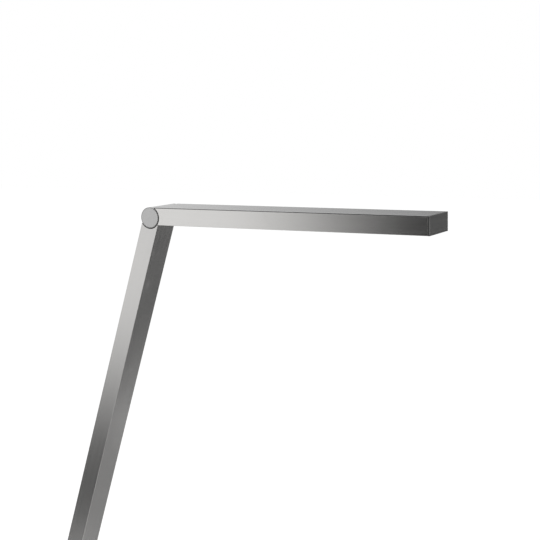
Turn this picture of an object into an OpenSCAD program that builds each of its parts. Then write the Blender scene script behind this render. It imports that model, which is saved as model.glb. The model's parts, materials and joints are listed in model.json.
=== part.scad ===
// Floor lamp: a level flat head carried by a leaning flat stem, joined by a round barrel hinge.
// Millimetres, +Z up. The origin is the centre of the base pad's underside, on the floor.
// +X runs from the stem's foot towards the head's tip. Head and stem are flush on the -Y side.

/* [Head] */
// Length of the head from the hinge axis to the tip
head_l = 504; // [440:1:700]
// Width of the head across its flat top
head_w = 75; // [72:1:100]
// Height of the head's section
head_h = 30; // [29:0.5:34]
// Thickness of the head's side walls
head_wall = 2.4; // [2.2:0.1:3]
// Thickness of the head's floor
head_floor = 2; // [1.6:0.1:2.5]
// Thickness of the top cover plate
cover_t = 1.6; // [1.2:0.1:2.4]
// Height of the shadow gap under the edge of the top cover
seam_h = 0.8; // [0.4:0.1:1.5]
// Depth of the shadow gap under the edge of the top cover
seam_d = 1.4; // [0.8:0.1:1.6]
// Depth of the two ribs under the top cover
rib_h = 3; // [2:0.5:4]
// Thickness of the ribs under the top cover
rib_t = 1.2; // [1:0.1:1.6]
// Thickness of the end cap's plate
cap_t = 3; // [2:0.5:6]
// Shadow gap between the end cap and the channel
cap_seam = 0.5; // [0.3:0.1:1]
// Length of the end cap's plug inside the channel
cap_plug_l = 10; // [8:1:14]

/* [Light] */
// Distance from the hinge axis to the near end of the light unit
light_x = 160; // [158:1:165]
// Distance from the tip back to the far end of the light unit
light_back = 54; // [52:1:80]
// Thickness of the diffuser's flange
diffuser_t = 2; // [1.5:0.1:2.5]
// Overlap of the diffuser's flange on the floor around the window
diffuser_lap = 3; // [2:0.5:5]
// How far the diffuser's lower face lies above the head's underside
diffuser_inset = 0.4; // [0.2:0.1:1]
// Height of the reflector frame
reflector_h = 9; // [7:0.5:10]
// Wall of the reflector frame
reflector_wall = 1.5; // [1:0.1:2.5]
// Thickness of the light board
board_t = 1.6; // [1:0.1:2]
// Number of light chips along the board
chip_count = 18; // [8:1:20]
// Edge length of one light chip
chip_w = 5; // [3:0.5:5.5]
// Height of one light chip
chip_h = 0.8; // [0.5:0.1:1.2]
// Spacing of the two rows of light chips
chip_row_gap = 22; // [12:1:30]
// Thickness of the heat spreader's plate
spreader_t = 3; // [2:0.5:4]
// Thickness of the heat spreader's side legs
spreader_leg = 5; // [4.5:0.5:6]
// Thickness of one cooling fin
fin_t = 1.5; // [1:0.1:2]
// Number of cooling fins
fin_count = 6; // [3:1:8]
// Width over the row of cooling fins
fin_span = 52; // [40:1:58]

/* [Driver] */
// Distance from the hinge axis to the driver
driver_x = 58; // [56:1:60]
// Length of the driver
driver_l = 80; // [60:1:80]
// Width of the driver
driver_w = 50; // [40:1:60]
// Height of the driver
driver_h = 20; // [14:1:22]
// Length of the terminal block
terminal_l = 14; // [10:1:15]
// Width of the terminal block
terminal_w = 30; // [20:1:40]
// Height of the terminal block
terminal_h = 10; // [8:1:14]
// Diameter of the leads inside the lamp
lead_d = 5; // [4:0.5:6]

/* [Button] */
// Distance from the tip back to the button's axis
button_back = 32; // [30:1:34]
// Diameter of the button
button_d = 12; // [9:0.5:14]
// How far the button stands out under the head, which is also its travel
button_travel = 1.2; // [0.8:0.1:1.6]
// Width of the button's retaining rim
button_rim = 1.5; // [1:0.1:2]
// Thickness of the button's retaining rim
button_rim_t = 1.2; // [1:0.1:1.5]
// Edge length of the switch housing
switch_w = 14; // [12:0.5:16]
// Height of the switch housing
switch_h = 8; // [7:0.5:9]
// Height of the switch housing above the head's floor
switch_lift = 6.4; // [6:0.1:7]
// Diameter of the switch plunger
plunger_d = 4; // [3:0.5:5]
// Width of the switch board
switch_board_w = 40; // [34:1:50]
// Length of the switch board
switch_board_l = 18; // [17:0.5:18]
// Diameter of the posts that carry the switch board
post_d = 6; // [5:0.5:7]

/* [Hinge] */
// Diameter of the hinge barrel and of the two discs at its ends
barrel_d = 35.2; // [34.6:0.1:37]
// Dark gap around the discs
ring_gap = 1.4; // [0.6:0.1:1.6]
// Thickness of the end discs
disc_t = 3; // [2.6:0.1:4]
// Width of the head's knuckle behind the near disc
near_knuckle_w = 10; // [8:0.5:12]
// Thickness of the friction washers
friction_t = 1; // [0.8:0.1:1.5]
// Diameter of the hinge axle
axle_d = 10; // [8:0.5:12]
// Diameter of the axle's head
axle_head_d = 16; // [15:0.5:18]
// Height of the axle's head
axle_head_t = 4; // [3:0.5:5]
// Wall of the bushes around the axle
bush_t = 1.5; // [1:0.1:2]
// Length of one bush
bush_l = 12; // [8:1:16]
// Width of the hinge nut across its flats
nut_w = 16; // [15:0.5:17]
// Height of the hinge nut
nut_t = 6; // [5:0.5:8]
// Thickness of one spring washer
spring_t = 1.2; // [1:0.1:1.5]
// Length of the head's hinge block measured from the hinge axis
head_block_l = 50; // [44:1:52]
// Length of the stem's hinge block measured from the hinge axis
stem_block_l = 80; // [70:1:120]
// Thickness of the neck between the stem's block and its knuckle
neck_t = 21; // [18:0.5:23]

/* [Stem] */
// Width of the stem's section
stem_w = 51; // [48:0.5:56]
// Thickness of the stem's section
stem_t = 32; // [31:0.5:36]
// Wall of the stem tube
stem_wall = 2; // [1.6:0.1:3]
// Lean of the stem from the vertical in degrees
stem_lean = 18.3; // [14:0.1:20]
// How far the stem's centre line lies inside the hinge axis
stem_inset = 3.2; // [2:0.1:4]
// Height of the hinge axis above the floor
pivot_h = 1230; // [1000:5:1400]
// Length of one foam spacer around the lead
spacer_l = 20; // [10:1:40]
// Number of foam spacers along the stem
spacer_count = 4; // [2:1:6]

/* [Base] */
// Length of the base plate
base_l = 420; // [380:1:500]
// Width of the base plate
base_w = 240; // [180:1:320]
// Thickness of the base plate
base_t = 12; // [11:0.5:18]
// Corner radius of the base plate
base_r = 10; // [4:1:20]
// Thickness of the pad under the base plate
pad_t = 2; // [1.5:0.1:4]
// How far the pad's edge lies inside the plate's edge
pad_inset = 4; // [2:0.5:10]
// Distance from the plate's rear edge to the stem's centre line
foot_inset = 80; // [65:1:100]
// Height of the foot block above the base plate
foot_block_l = 90; // [80:1:140]
// Spacing of the two screws that hold the foot block
foot_screw_gap = 28; // [26:1:30]
// Length of the foot screws' shanks
foot_screw_l = 28; // [26:1:30]
// Outer diameter of the cord gland's body
gland_d = 9; // [8:0.5:10]
// Bore of the cord gland
gland_bore = 6.6; // [5:0.1:7]
// Length of the cord gland's body inside the plate
gland_l = 14; // [10:1:20]
// Diameter of the cord gland's collar
gland_collar_d = 11; // [10.5:0.1:12]
// Thickness of the cord gland's collar
gland_collar_t = 2.5; // [1.5:0.1:4]

/* [Screws] */
// Shank diameter of the large screws in the base
foot_screw_d = 8; // [6:0.5:9]
// Head diameter of the large screws in the base
foot_screw_head_d = 16; // [14:0.5:17]
// Shank diameter of the screws in the stem
stem_screw_d = 5; // [4:0.5:6]
// Head diameter of the screws in the stem
stem_screw_head_d = 9; // [8.5:0.5:11]
// Length of the screws in the stem
stem_screw_l = 10; // [8:1:11]
// Distance between the two screws in the stem, along it
stem_screw_gap = 25; // [20:1:28]
// Shank diameter of the small screws in the head
head_screw_d = 3; // [2.5:0.1:3.4]
// Head diameter of the small screws in the head
head_screw_head_d = 5.6; // [5.2:0.1:6]
// Length of the small screws in the head
head_screw_l = 8; // [6:0.5:8.5]

/* [Clearances] */
// Gap between pieces that are pushed together and stay put
fit_gap = 0.1; // [0.05:0.01:0.2]
// Radial gap of the running fit between the axle and its bushes
run_gap = 0.05; // [0.02:0.01:0.1]
// Gap between pieces that move past each other
move_gap = 0.4; // [0.3:0.05:0.6]
// Gap between the button and its hole
button_gap = 0.35; // [0.3:0.05:0.5]
// Gap between the lead and the holes that it passes
lead_gap = 0.4; // [0.3:0.05:0.8]

/* [Hidden] */

$fn = 64;
far_cut = 2000;
over = 1;
socket_sides = 6;

base_top = pad_t + base_t;
foot_x = foot_inset - base_l / 2;
pivot_x = foot_x + (pivot_h - base_top) * tan(stem_lean) - stem_inset / cos(stem_lean);
near_y = -stem_w / 2;
head_mid_y = near_y + head_w / 2;

barrel_r = barrel_d / 2;
ring_r = barrel_r + ring_gap;
axle_r = axle_d / 2;
bush_in_r = axle_r + run_gap;
bush_out_r = bush_in_r + bush_t;
axle_pocket_r = axle_head_d / 2 + fit_gap;
nut_r = nut_w / sqrt(3);
nut_pocket_r = nut_r + fit_gap;
lead_r = lead_d / 2;
lead_hole_r = lead_r + lead_gap;

near_knuckle_y = disc_t + move_gap;
washer_one_y = near_knuckle_y + near_knuckle_w;
stem_knuckle_y = washer_one_y + friction_t;
stem_knuckle_w = stem_w - stem_knuckle_y - friction_t;
washer_two_y = stem_knuckle_y + stem_knuckle_w;
far_knuckle_y = washer_two_y + friction_t;
far_knuckle_w = head_w - disc_t - move_gap - far_knuckle_y;
stub_l = 2;
nut_pocket_t = nut_t + 2 * spring_t + stub_l;
nut_pocket_y = far_knuckle_y + far_knuckle_w - nut_pocket_t;
axle_seat_t = 4;
near_pocket_t = near_knuckle_w - axle_seat_t;

head_top = barrel_r;
head_bottom = head_top - head_h;
floor_top = head_bottom + head_floor;
cover_bottom = head_top - cover_t;
channel_end = head_l - cap_t - cap_seam;
room_w = head_w - 2 * head_wall;
block_w = room_w - 2 * fit_gap;
block_screw_share = 0.7;
lead_in_share = 0.75;
pair_share = 1 / 3;
block_screw_x = head_block_l * block_screw_share;
block_lead_x = head_block_l * lead_in_share;
cap_screw_x = channel_end - cap_plug_l / 2;
driver_screw_x = driver_x + driver_l / 2;

light_l = head_l - light_back - light_x;
spreader_half = room_w / 2 - fit_gap;
flange_w = 2 * (spreader_half - spreader_leg - fit_gap);
window_w = flange_w - 2 * diffuser_lap;
window_l = light_l - 2 * diffuser_lap;
reflector_z = floor_top + diffuser_t;
board_z = reflector_z + reflector_h;
spreader_z = board_z + board_t;
fin_z = spreader_z + spreader_t;
fin_top = cover_bottom - fit_gap;
chip_pitch = (light_l - 4 * reflector_wall) / chip_count;

terminal_gap = 3;
terminal_x = driver_x + driver_l + terminal_gap;
button_x = head_l - button_back;
switch_z = floor_top + switch_lift;
switch_top = switch_z + switch_h;
plunger_reach = 3;
switch_board_t = 1.6;
post_margin = 1;
post_y = switch_board_w / 2 - post_d / 2 - post_margin;

stem_x0 = stem_inset - stem_t / 2;
stem_len = (pivot_h - base_top) / cos(stem_lean) + stem_t;
tube_room_t = stem_t - 2 * stem_wall;
tube_room_w = stem_w - 2 * stem_wall;
foot_len = foot_block_l / cos(stem_lean);
foot_start = (pivot_h - base_top) / cos(stem_lean);
block_screw_down = 22;
block_screw_top = ring_r + block_screw_down;
lead_into_block = 20;
neck_root = 6;
neck_w = stem_w - stem_wall - fit_gap - stem_knuckle_y;
washer_step = 1;
rib_end_gap = 1;
pad_hole_gap = 1;
set_screw_up = 35;
set_screw_l = 6;
set_screw_top = foot_start - set_screw_up - stem_screw_gap;
foot_screw_x = foot_x + (foot_screw_l - base_t) / 2 * tan(stem_lean);
gland_z = pad_t + base_t / 2;
duct_play = 1;
duct_roof = 3;
duct_w = gland_bore + duct_play;
duct_h = base_t - duct_roof;

screw_metal = [0.55, 0.55, 0.56];
bar_metal = [0.78, 0.78, 0.77];
dark_metal = [0.42, 0.42, 0.43];
black_plastic = [0.08, 0.08, 0.09];

// Places children at the hinge axis, with y = 0 on the near face and +y towards the far face.
module hinge_frame() {
  translate([pivot_x, near_y, pivot_h]) children();
}

// Places children with x and z from the hinge axis and y = 0 in the middle of the head.
module head_frame() {
  translate([pivot_x, head_mid_y, pivot_h]) children();
}

// Places children along the stem: +z up the stem, +x square to it on the head's side.
module stem_frame() {
  translate([pivot_x, 0, pivot_h]) rotate([0, stem_lean, 0]) children();
}

// A round bar along +y from y.
module bar_y(y, length, r) {
  translate([0, y, 0]) rotate([-90, 0, 0]) cylinder(h = length, r = r);
}

// A box centred on y = 0.
module mid_box(x, z, length, width, height) {
  translate([x, -width / 2, z]) cube([length, width, height]);
}

// The round space that the barrel turns in, across the whole width.
module ring_space() {
  hinge_frame() bar_y(-over, head_w + 2 * over, ring_r);
}

// The space over the stem that the head's underside rests in.
module head_space() {
  translate([pivot_x, -far_cut / 2, pivot_h + head_bottom - move_gap]) cube([far_cut, far_cut, far_cut]);
}

// Everything below the top of the base plate.
module below_base() {
  translate([-far_cut / 2, -far_cut / 2, base_top - far_cut]) cube([far_cut, far_cut, far_cut]);
}

// A countersunk screw that points along +z, with its head's flat face at z = 0.
module sunk_screw(d, head_d, length) {
  difference() {
    union() {
      cylinder(h = length, r = d / 2);
      rotate_extrude() polygon([[0, 0], [head_d / 2, 0], [d / 2, (head_d - d) / 2], [0, (head_d - d) / 2]]);
    }
    translate([0, 0, -over]) cylinder(h = over + (head_d - d) / 3, r = d / 3, $fn = socket_sides);
  }
}

// The hole for a countersunk screw, wider all round by gap.
module sunk_hole(d, head_d, length, gap) {
  translate([0, 0, -over]) cylinder(h = length + over + gap, r = d / 2 + gap);
  rotate_extrude() {
    polygon([
      [0, -over], [head_d / 2 + gap, -over], [head_d / 2 + gap, 0],
      [d / 2 + gap, (head_d - d) / 2], [0, (head_d - d) / 2]
    ]);
  }
}

// Places of the countersunk screws under the head, for each pair at x, spaced by y.
module under_head(x, y) {
  for (side = [-1, 1]) {
    head_frame() translate([x, side * y, head_bottom]) children();
  }
}

// Places of the four screws under the heat spreader's legs.
module under_spreader() {
  for (part = [1 / 8, 7 / 8]) {
    under_head(light_x + light_l * part, spreader_half - spreader_leg / 2) children();
  }
}

// Places of the screws along the stem's outer face, pointing inwards.
module on_stem(first) {
  for (i = [0, 1]) {
    stem_frame() translate([stem_x0, 0, -first - i * stem_screw_gap]) rotate([0, 90, 0]) children();
  }
}

// Places of the vertical screws that hold the foot block.
module under_base() {
  for (side = [-1, 1]) {
    translate([foot_screw_x, side * foot_screw_gap / 2, pad_t]) children();
  }
}

// A flat rectangle with round corners, centred.
module round_plate(length, width, r, height) {
  linear_extrude(height) {
    square([length - 2 * r, width], center = true);
    square([length, width - 2 * r], center = true);
    for (x = [-1, 1], y = [-1, 1]) {
      translate([x * (length / 2 - r), y * (width / 2 - r)]) circle(r);
    }
  }
}

// The path of the lead along the stem, as a round bar.
module lead_path(r, low, high) {
  stem_frame() translate([stem_inset, 0, low]) cylinder(h = high - low, r = r);
}

// ---- base ----

// Heavy steel plate with a duct for the cord in its underside.
module base_plate() {
  color(bar_metal) difference() {
    translate([0, 0, pad_t]) round_plate(base_l, base_w, base_r, base_t);
    under_base() foot_hole();
    translate([-base_l / 2, 0, gland_z]) rotate([0, 90, 0]) {
      translate([0, 0, -over]) cylinder(h = gland_l + over, r = gland_d / 2 + fit_gap);
    }
    translate([-base_l / 2 + gland_l - fit_gap, -duct_w / 2, pad_t - over]) {
      cube([foot_x + base_l / 2 - gland_l + duct_w, duct_w, duct_h + over]);
    }
    lead_path(lead_hole_r, -foot_start - base_t, -foot_start + base_t);
  }
}

// The hole for one of the two large screws.
module foot_hole() {
  sunk_hole(foot_screw_d, foot_screw_head_d, foot_screw_l, fit_gap);
}

// Rubber sheet under the plate, open under the two screws.
module base_pad() {
  color(black_plastic) difference() {
    round_plate(base_l - 2 * pad_inset, base_w - 2 * pad_inset, base_r - pad_inset / 2, pad_t);
    under_base() translate([0, 0, -pad_t - over]) {
      cylinder(h = pad_t + 2 * over, r = foot_screw_head_d / 2 + pad_hole_gap);
    }
  }
}

// Two large screws from below into the foot block.
module foot_screws() {
  color(screw_metal) under_base() sunk_screw(foot_screw_d, foot_screw_head_d, foot_screw_l);
}

// Collared bush where a cord enters the plate's rear edge.
module cord_gland() {
  color(black_plastic) translate([-base_l / 2, 0, gland_z]) rotate([0, 90, 0]) difference() {
    union() {
      translate([0, 0, -gland_collar_t]) cylinder(h = gland_collar_t, r = gland_collar_d / 2);
      cylinder(h = gland_l - fit_gap, r = gland_d / 2);
    }
    translate([0, 0, -gland_collar_t - over]) {
      cylinder(h = gland_l + gland_collar_t + 2 * over, r = gland_bore / 2);
    }
  }
}

// Leaning block inside the tube's lower end.
module foot_block() {
  color(dark_metal) difference() {
    stem_frame() {
      translate([stem_x0 + stem_wall + fit_gap, -tube_room_w / 2 + fit_gap, -foot_start - stem_t]) {
        cube([tube_room_t - 2 * fit_gap, tube_room_w - 2 * fit_gap, foot_len + stem_t]);
      }
    }
    below_base();
    under_base() foot_hole();
    lead_path(lead_hole_r, -foot_start - stem_t - over, -foot_start + foot_len + over);
    set_screw_holes();
  }
}

// The holes for the two headless screws.
module set_screw_holes() {
  on_stem(set_screw_top) translate([0, 0, -over]) {
    cylinder(h = set_screw_l + over + fit_gap, r = stem_screw_d / 2 + fit_gap);
  }
}

// Two headless screws through the tube's wall into the foot block.
module foot_set_screws() {
  color(screw_metal) on_stem(set_screw_top) difference() {
    cylinder(h = set_screw_l, r = stem_screw_d / 2);
    translate([0, 0, -over]) cylinder(h = over + stem_wall, r = stem_screw_d / 4, $fn = socket_sides);
  }
}

// ---- stem ----

// Leaning rectangular tube, cut round below the barrel and level under the head.
module stem_tube() {
  color(bar_metal) difference() {
    stem_frame() difference() {
      translate([stem_x0, -stem_w / 2, -stem_len]) cube([stem_t, stem_w, stem_len]);
      translate([stem_x0 + stem_wall, -tube_room_w / 2, -stem_len - over]) {
        cube([tube_room_t, tube_room_w, stem_len + 2 * over]);
      }
    }
    ring_space();
    head_space();
    below_base();
    on_stem(block_screw_top) stem_hole();
    set_screw_holes();
  }
}

// Lead through the middle of the stem.
module stem_lead() {
  color(black_plastic) lead_path(lead_r, -foot_start, -stem_block_l + lead_into_block);
}

// Foam spacers that hold the lead in the middle of the tube.
module lead_spacers() {
  first = -foot_start + foot_len + spacer_l;
  last = -stem_block_l - 2 * spacer_l;
  color(dark_metal) for (i = [0 : spacer_count - 1]) {
    z = first + (last - first) * i / (spacer_count - 1);
    difference() {
      stem_frame() {
        translate([stem_x0 + stem_wall + fit_gap, -tube_room_w / 2 + fit_gap, z]) {
          cube([tube_room_t - 2 * fit_gap, tube_room_w - 2 * fit_gap, spacer_l]);
        }
      }
      lead_path(lead_r + fit_gap, z - over, z + spacer_l + over);
    }
  }
}

// ---- hinge ----

// Block in the tube's upper end, with the wide middle knuckle of the barrel.
module stem_hinge_block() {
  color(dark_metal) difference() {
    union() {
      difference() {
        stem_frame() {
          translate([stem_x0 + stem_wall + fit_gap, -tube_room_w / 2 + fit_gap, -stem_block_l]) {
            cube([tube_room_t - 2 * fit_gap, tube_room_w - 2 * fit_gap, stem_block_l]);
          }
        }
        ring_space();
        head_space();
      }
      hinge_frame() bar_y(stem_knuckle_y, stem_knuckle_w, barrel_r);
      stem_frame() {
        translate([stem_x0 + stem_wall + fit_gap, near_y + stem_knuckle_y, -ring_r - neck_root]) {
          cube([neck_t, neck_w, ring_r + neck_root]);
        }
      }
    }
    hinge_frame() bar_y(stem_knuckle_y - over, stem_knuckle_w + 2 * over, bush_out_r + fit_gap / 2);
    lead_path(lead_hole_r, -stem_block_l - over, -ring_r - neck_t / 2);
    on_stem(block_screw_top) stem_hole();
  }
}

// The hole for one of the two screws in the stem's upper end.
module stem_hole() {
  sunk_hole(stem_screw_d, stem_screw_head_d, stem_screw_l, fit_gap);
}

// Two countersunk screws through the tube's outer wall into the hinge block.
module stem_block_screws() {
  color(screw_metal) on_stem(block_screw_top) sunk_screw(stem_screw_d, stem_screw_head_d, stem_screw_l);
}

// A bush in each end of the stem's knuckle.
module hinge_bushes() {
  color("peru") for (y = [stem_knuckle_y, stem_knuckle_y + stem_knuckle_w - bush_l]) {
    hinge_frame() difference() {
      bar_y(y, bush_l, bush_out_r);
      bar_y(y - over, bush_l + 2 * over, bush_in_r);
    }
  }
}

// A friction washer on each side of the stem's knuckle.
module friction_washers() {
  color(black_plastic) for (y = [washer_one_y, washer_two_y]) {
    hinge_frame() difference() {
      bar_y(y, friction_t, barrel_r - washer_step);
      bar_y(y - over, friction_t + 2 * over, axle_r + run_gap);
    }
  }
}

// Steel axle with a socket head in the near knuckle.
module hinge_axle() {
  start = near_knuckle_y + near_pocket_t;
  color(screw_metal) hinge_frame() difference() {
    union() {
      bar_y(start - axle_head_t, axle_head_t, axle_head_d / 2);
      bar_y(start - over, nut_pocket_y + 2 * spring_t + nut_t - start + over, axle_r);
    }
    translate([0, start - axle_head_t - over, 0]) rotate([-90, 0, 0]) {
      cylinder(h = axle_head_t / 2 + over, r = axle_r / 2, $fn = socket_sides);
    }
  }
}

// Two spring washers under the nut.
module spring_washers() {
  color(screw_metal) for (i = [0, 1]) {
    hinge_frame() difference() {
      bar_y(nut_pocket_y + i * spring_t, spring_t, nut_w / 2);
      bar_y(nut_pocket_y + i * spring_t - over, spring_t + 2 * over, axle_r + run_gap);
    }
  }
}

// Six-sided nut in the far knuckle.
module hinge_nut() {
  y = nut_pocket_y + 2 * spring_t;
  color(screw_metal) hinge_frame() difference() {
    translate([0, y, 0]) rotate([-90, 0, 0]) cylinder(h = nut_t, r = nut_r, $fn = socket_sides);
    bar_y(y - over, nut_t + 2 * over, axle_r + run_gap);
  }
}

// Disc that covers the near end of the barrel, with a stub in the knuckle's pocket.
module near_disc() {
  color(bar_metal) hinge_frame() {
    bar_y(0, disc_t, barrel_r);
    bar_y(disc_t, move_gap + near_pocket_t - axle_head_t, axle_pocket_r - 2 * fit_gap);
  }
}

// Disc that covers the far end of the barrel, with a stub in the nut's pocket.
module far_disc() {
  color(bar_metal) hinge_frame() {
    bar_y(head_w - disc_t, disc_t, barrel_r);
    bar_y(head_w - disc_t - move_gap - stub_l, move_gap + stub_l, nut_pocket_r - 2 * fit_gap);
  }
}

// Block in the head's end, with the knuckles on both sides of the stem's knuckle.
module head_hinge_block() {
  color(dark_metal) difference() {
    union() {
      difference() {
        head_frame() {
          mid_box(0, floor_top, head_block_l, block_w, cover_bottom - floor_top);
        }
        ring_space();
      }
      knuckle_with_arm(near_knuckle_y, near_knuckle_w);
      knuckle_with_arm(far_knuckle_y, far_knuckle_w);
    }
    hinge_frame() {
      bar_y(0, head_w, axle_r + run_gap);
      bar_y(near_knuckle_y - over, near_pocket_t + over, axle_pocket_r);
      bar_y(nut_pocket_y, nut_pocket_t + over, nut_pocket_r);
    }
    head_frame() {
      translate([head_block_l / 2, 0, 0]) rotate([0, 90, 0]) cylinder(h = head_block_l, r = lead_hole_r);
    }
    under_head(block_screw_x, block_w * pair_share) small_hole();
  }
}

// One knuckle of the head and the arm that joins it to the block.
module knuckle_with_arm(y, width) {
  hinge_frame() {
    bar_y(y, width, barrel_r);
    translate([0, y, floor_top]) cube([ring_r + head_wall, width, cover_bottom - floor_top]);
  }
}

// Two countersunk screws from below into the head's hinge block.
module head_block_screws() {
  color(screw_metal) under_head(block_screw_x, block_w * pair_share) small_screw();
}

// The countersunk screw used under the head.
module small_screw() {
  sunk_screw(head_screw_d, head_screw_head_d, head_screw_l);
}

// The hole for that screw.
module small_hole() {
  sunk_hole(head_screw_d, head_screw_head_d, head_screw_l, fit_gap);
}

// ---- head ----

// Open channel: two side walls and a floor with the light's window.
module head_channel() {
  color(bar_metal) difference() {
    head_frame() difference() {
      mid_box(0, head_bottom, channel_end, head_w, head_h - cover_t);
      mid_box(-over, floor_top, channel_end + 2 * over, room_w, head_h);
      for (side = [-1, 1]) {
        translate([-over, side * (head_w + over - seam_d) / 2 - (seam_d + over) / 2, cover_bottom - seam_h]) {
          cube([channel_end + 2 * over, seam_d + over, head_h]);
        }
      }
      mid_box(light_x + diffuser_lap, head_bottom - over, window_l, window_w, head_floor + 2 * over);
      translate([button_x, 0, head_bottom - over]) {
        cylinder(h = head_floor + 2 * over, r = button_d / 2 + button_gap);
      }
    }
    ring_space();
    under_head(block_screw_x, block_w * pair_share) small_hole();
    under_head(driver_screw_x, driver_w / 4) small_hole();
    under_head(cap_screw_x, block_w * pair_share) small_hole();
    under_spreader() small_hole();
  }
}

// Flat plate that closes the channel, with two ribs between the walls.
module top_cover() {
  rib_x = head_block_l + rib_end_gap;
  rib_end = channel_end - cap_plug_l - rib_end_gap;
  color(bar_metal) {
    difference() {
      head_frame() mid_box(0, cover_bottom, channel_end, head_w, cover_t);
      ring_space();
    }
    for (side = [-1, 1]) {
      head_frame() {
        translate([rib_x, side * (room_w / 2 - fit_gap - rib_t / 2) - rib_t / 2, cover_bottom - rib_h]) {
          cube([rib_end - rib_x, rib_t, rib_h]);
        }
      }
    }
  }
}

// Plate that closes the tip, with a plug inside the channel.
module end_cap() {
  color(bar_metal) difference() {
    head_frame() {
      mid_box(head_l - cap_t, head_bottom, cap_t, head_w, head_h);
      mid_box(channel_end - cap_plug_l, floor_top, cap_plug_l + cap_seam, block_w, cover_bottom - floor_top);
    }
    under_head(cap_screw_x, block_w * pair_share) small_hole();
  }
}

// Two countersunk screws from below into the end cap's plug.
module end_cap_screws() {
  color(screw_metal) under_head(cap_screw_x, block_w * pair_share) small_screw();
}

// ---- light unit ----

// Aluminium plate over the light board, on two legs, with fins up to the cover.
module heat_spreader() {
  color(dark_metal) difference() {
    head_frame() {
      mid_box(light_x, spreader_z, light_l, 2 * spreader_half, spreader_t);
      for (side = [-1, 1]) {
        translate([light_x, side * (spreader_half - spreader_leg / 2) - spreader_leg / 2, floor_top]) {
          cube([light_l, spreader_leg, spreader_z - floor_top]);
        }
      }
      for (i = [0 : fin_count - 1]) {
        translate([light_x, -fin_span / 2 + i * (fin_span - fin_t) / (fin_count - 1), fin_z]) {
          cube([light_l, fin_t, fin_top - fin_z]);
        }
      }
    }
    under_spreader() small_hole();
  }
}

// Four countersunk screws from below into the spreader's legs.
module spreader_screws() {
  color(screw_metal) under_spreader() small_screw();
}

// Metal-backed board under the spreader.
module led_board() {
  color("white") head_frame() mid_box(light_x, board_z, light_l, flange_w, board_t);
}

// Two rows of light chips under the board.
module led_chips() {
  color("khaki") for (i = [0 : chip_count - 1], side = [-1, 1]) {
    x = light_x + 2 * reflector_wall + (i + 0.5) * chip_pitch;
    head_frame() {
      translate([x - chip_w / 2, side * chip_row_gap / 2 - chip_w / 2, board_z - chip_h]) {
        cube([chip_w, chip_w, chip_h]);
      }
    }
  }
}

// White frame between the diffuser and the board.
module reflector_frame() {
  color("white") head_frame() difference() {
    mid_box(light_x, reflector_z, light_l, flange_w, reflector_h);
    mid_box(light_x + reflector_wall, reflector_z - over, light_l - 2 * reflector_wall,
      flange_w - 2 * reflector_wall, reflector_h + 2 * over);
  }
}

// Opal plate that lies on the floor and fills its window.
module diffuser() {
  color("ghostwhite") head_frame() {
    mid_box(light_x, floor_top, light_l, flange_w, diffuser_t);
    mid_box(light_x + diffuser_lap + fit_gap, head_bottom + diffuser_inset, window_l - 2 * fit_gap,
      window_w - 2 * fit_gap, head_floor - diffuser_inset);
  }
}

// ---- electrics ----

// Closed driver box on the head's floor.
module driver() {
  color("whitesmoke") difference() {
    head_frame() mid_box(driver_x, floor_top, driver_l, driver_w, driver_h);
    under_head(driver_screw_x, driver_w / 4) small_hole();
  }
}

// Two countersunk screws from below into the driver.
module driver_screws() {
  color(screw_metal) under_head(driver_screw_x, driver_w / 4) small_screw();
}

// Block where the driver's leads meet the light board's.
module terminal_block() {
  color("gainsboro") head_frame() mid_box(terminal_x, floor_top, terminal_l, terminal_w, terminal_h);
}

// Short leads: block to driver, driver to terminals, terminals to the light unit.
module head_leads() {
  terminal_end = terminal_x + terminal_l;
  color(black_plastic) head_frame() {
    lead_x(block_lead_x, driver_x - block_lead_x, 0);
    lead_x(driver_x + driver_l, terminal_gap, floor_top + terminal_h / 2);
    lead_x(terminal_end, light_x - terminal_end, floor_top + terminal_h / 2);
  }
}

// One lead along +x.
module lead_x(x, length, z) {
  translate([x, 0, z]) rotate([0, 90, 0]) cylinder(h = length, r = lead_r);
}

// ---- button ----

// Small board over the button.
module switch_board() {
  color("darkgreen") head_frame() {
    mid_box(button_x - switch_board_l / 2, switch_top, switch_board_l, switch_board_w, switch_board_t);
  }
}

// Two posts from the floor up to the switch board.
module switch_posts() {
  color(screw_metal) for (side = [-1, 1]) {
    head_frame() translate([button_x, side * post_y, floor_top]) {
      cylinder(h = switch_top - floor_top, r = post_d / 2);
    }
  }
}

// Switch under the board, with a blind bore for its plunger.
module switch_housing() {
  color(black_plastic) head_frame() difference() {
    mid_box(button_x - switch_w / 2, switch_z, switch_w, switch_w, switch_h);
    translate([button_x, 0, switch_z - over]) {
      cylinder(h = over + plunger_reach + button_travel + move_gap, r = plunger_d / 2 + button_gap);
    }
  }
}

// Round plunger between the button and the switch.
module switch_plunger() {
  color("whitesmoke") head_frame() translate([button_x, 0, floor_top + button_rim_t]) {
    cylinder(h = switch_lift - button_rim_t + plunger_reach, r = plunger_d / 2);
  }
}

// Round button through the floor, with a rim that rests on the floor's upper face.
module button_cap() {
  color(dark_metal) head_frame() {
    translate([button_x, 0, head_bottom - button_travel]) {
      cylinder(h = head_floor + button_travel + button_rim_t, r = button_d / 2);
    }
    translate([button_x, 0, floor_top]) cylinder(h = button_rim_t, r = button_d / 2 + button_rim);
  }
}

base_plate();
base_pad();
foot_screws();
cord_gland();
foot_block();
foot_set_screws();
stem_tube();
stem_lead();
lead_spacers();
stem_hinge_block();
stem_block_screws();
hinge_bushes();
friction_washers();
hinge_axle();
spring_washers();
hinge_nut();
near_disc();
far_disc();
head_hinge_block();
head_block_screws();
head_channel();
top_cover();
end_cap();
end_cap_screws();
heat_spreader();
spreader_screws();
led_board();
led_chips();
reflector_frame();
diffuser();
driver();
driver_screws();
terminal_block();
head_leads();
switch_board();
switch_posts();
switch_housing();
switch_plunger();
button_cap();
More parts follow.
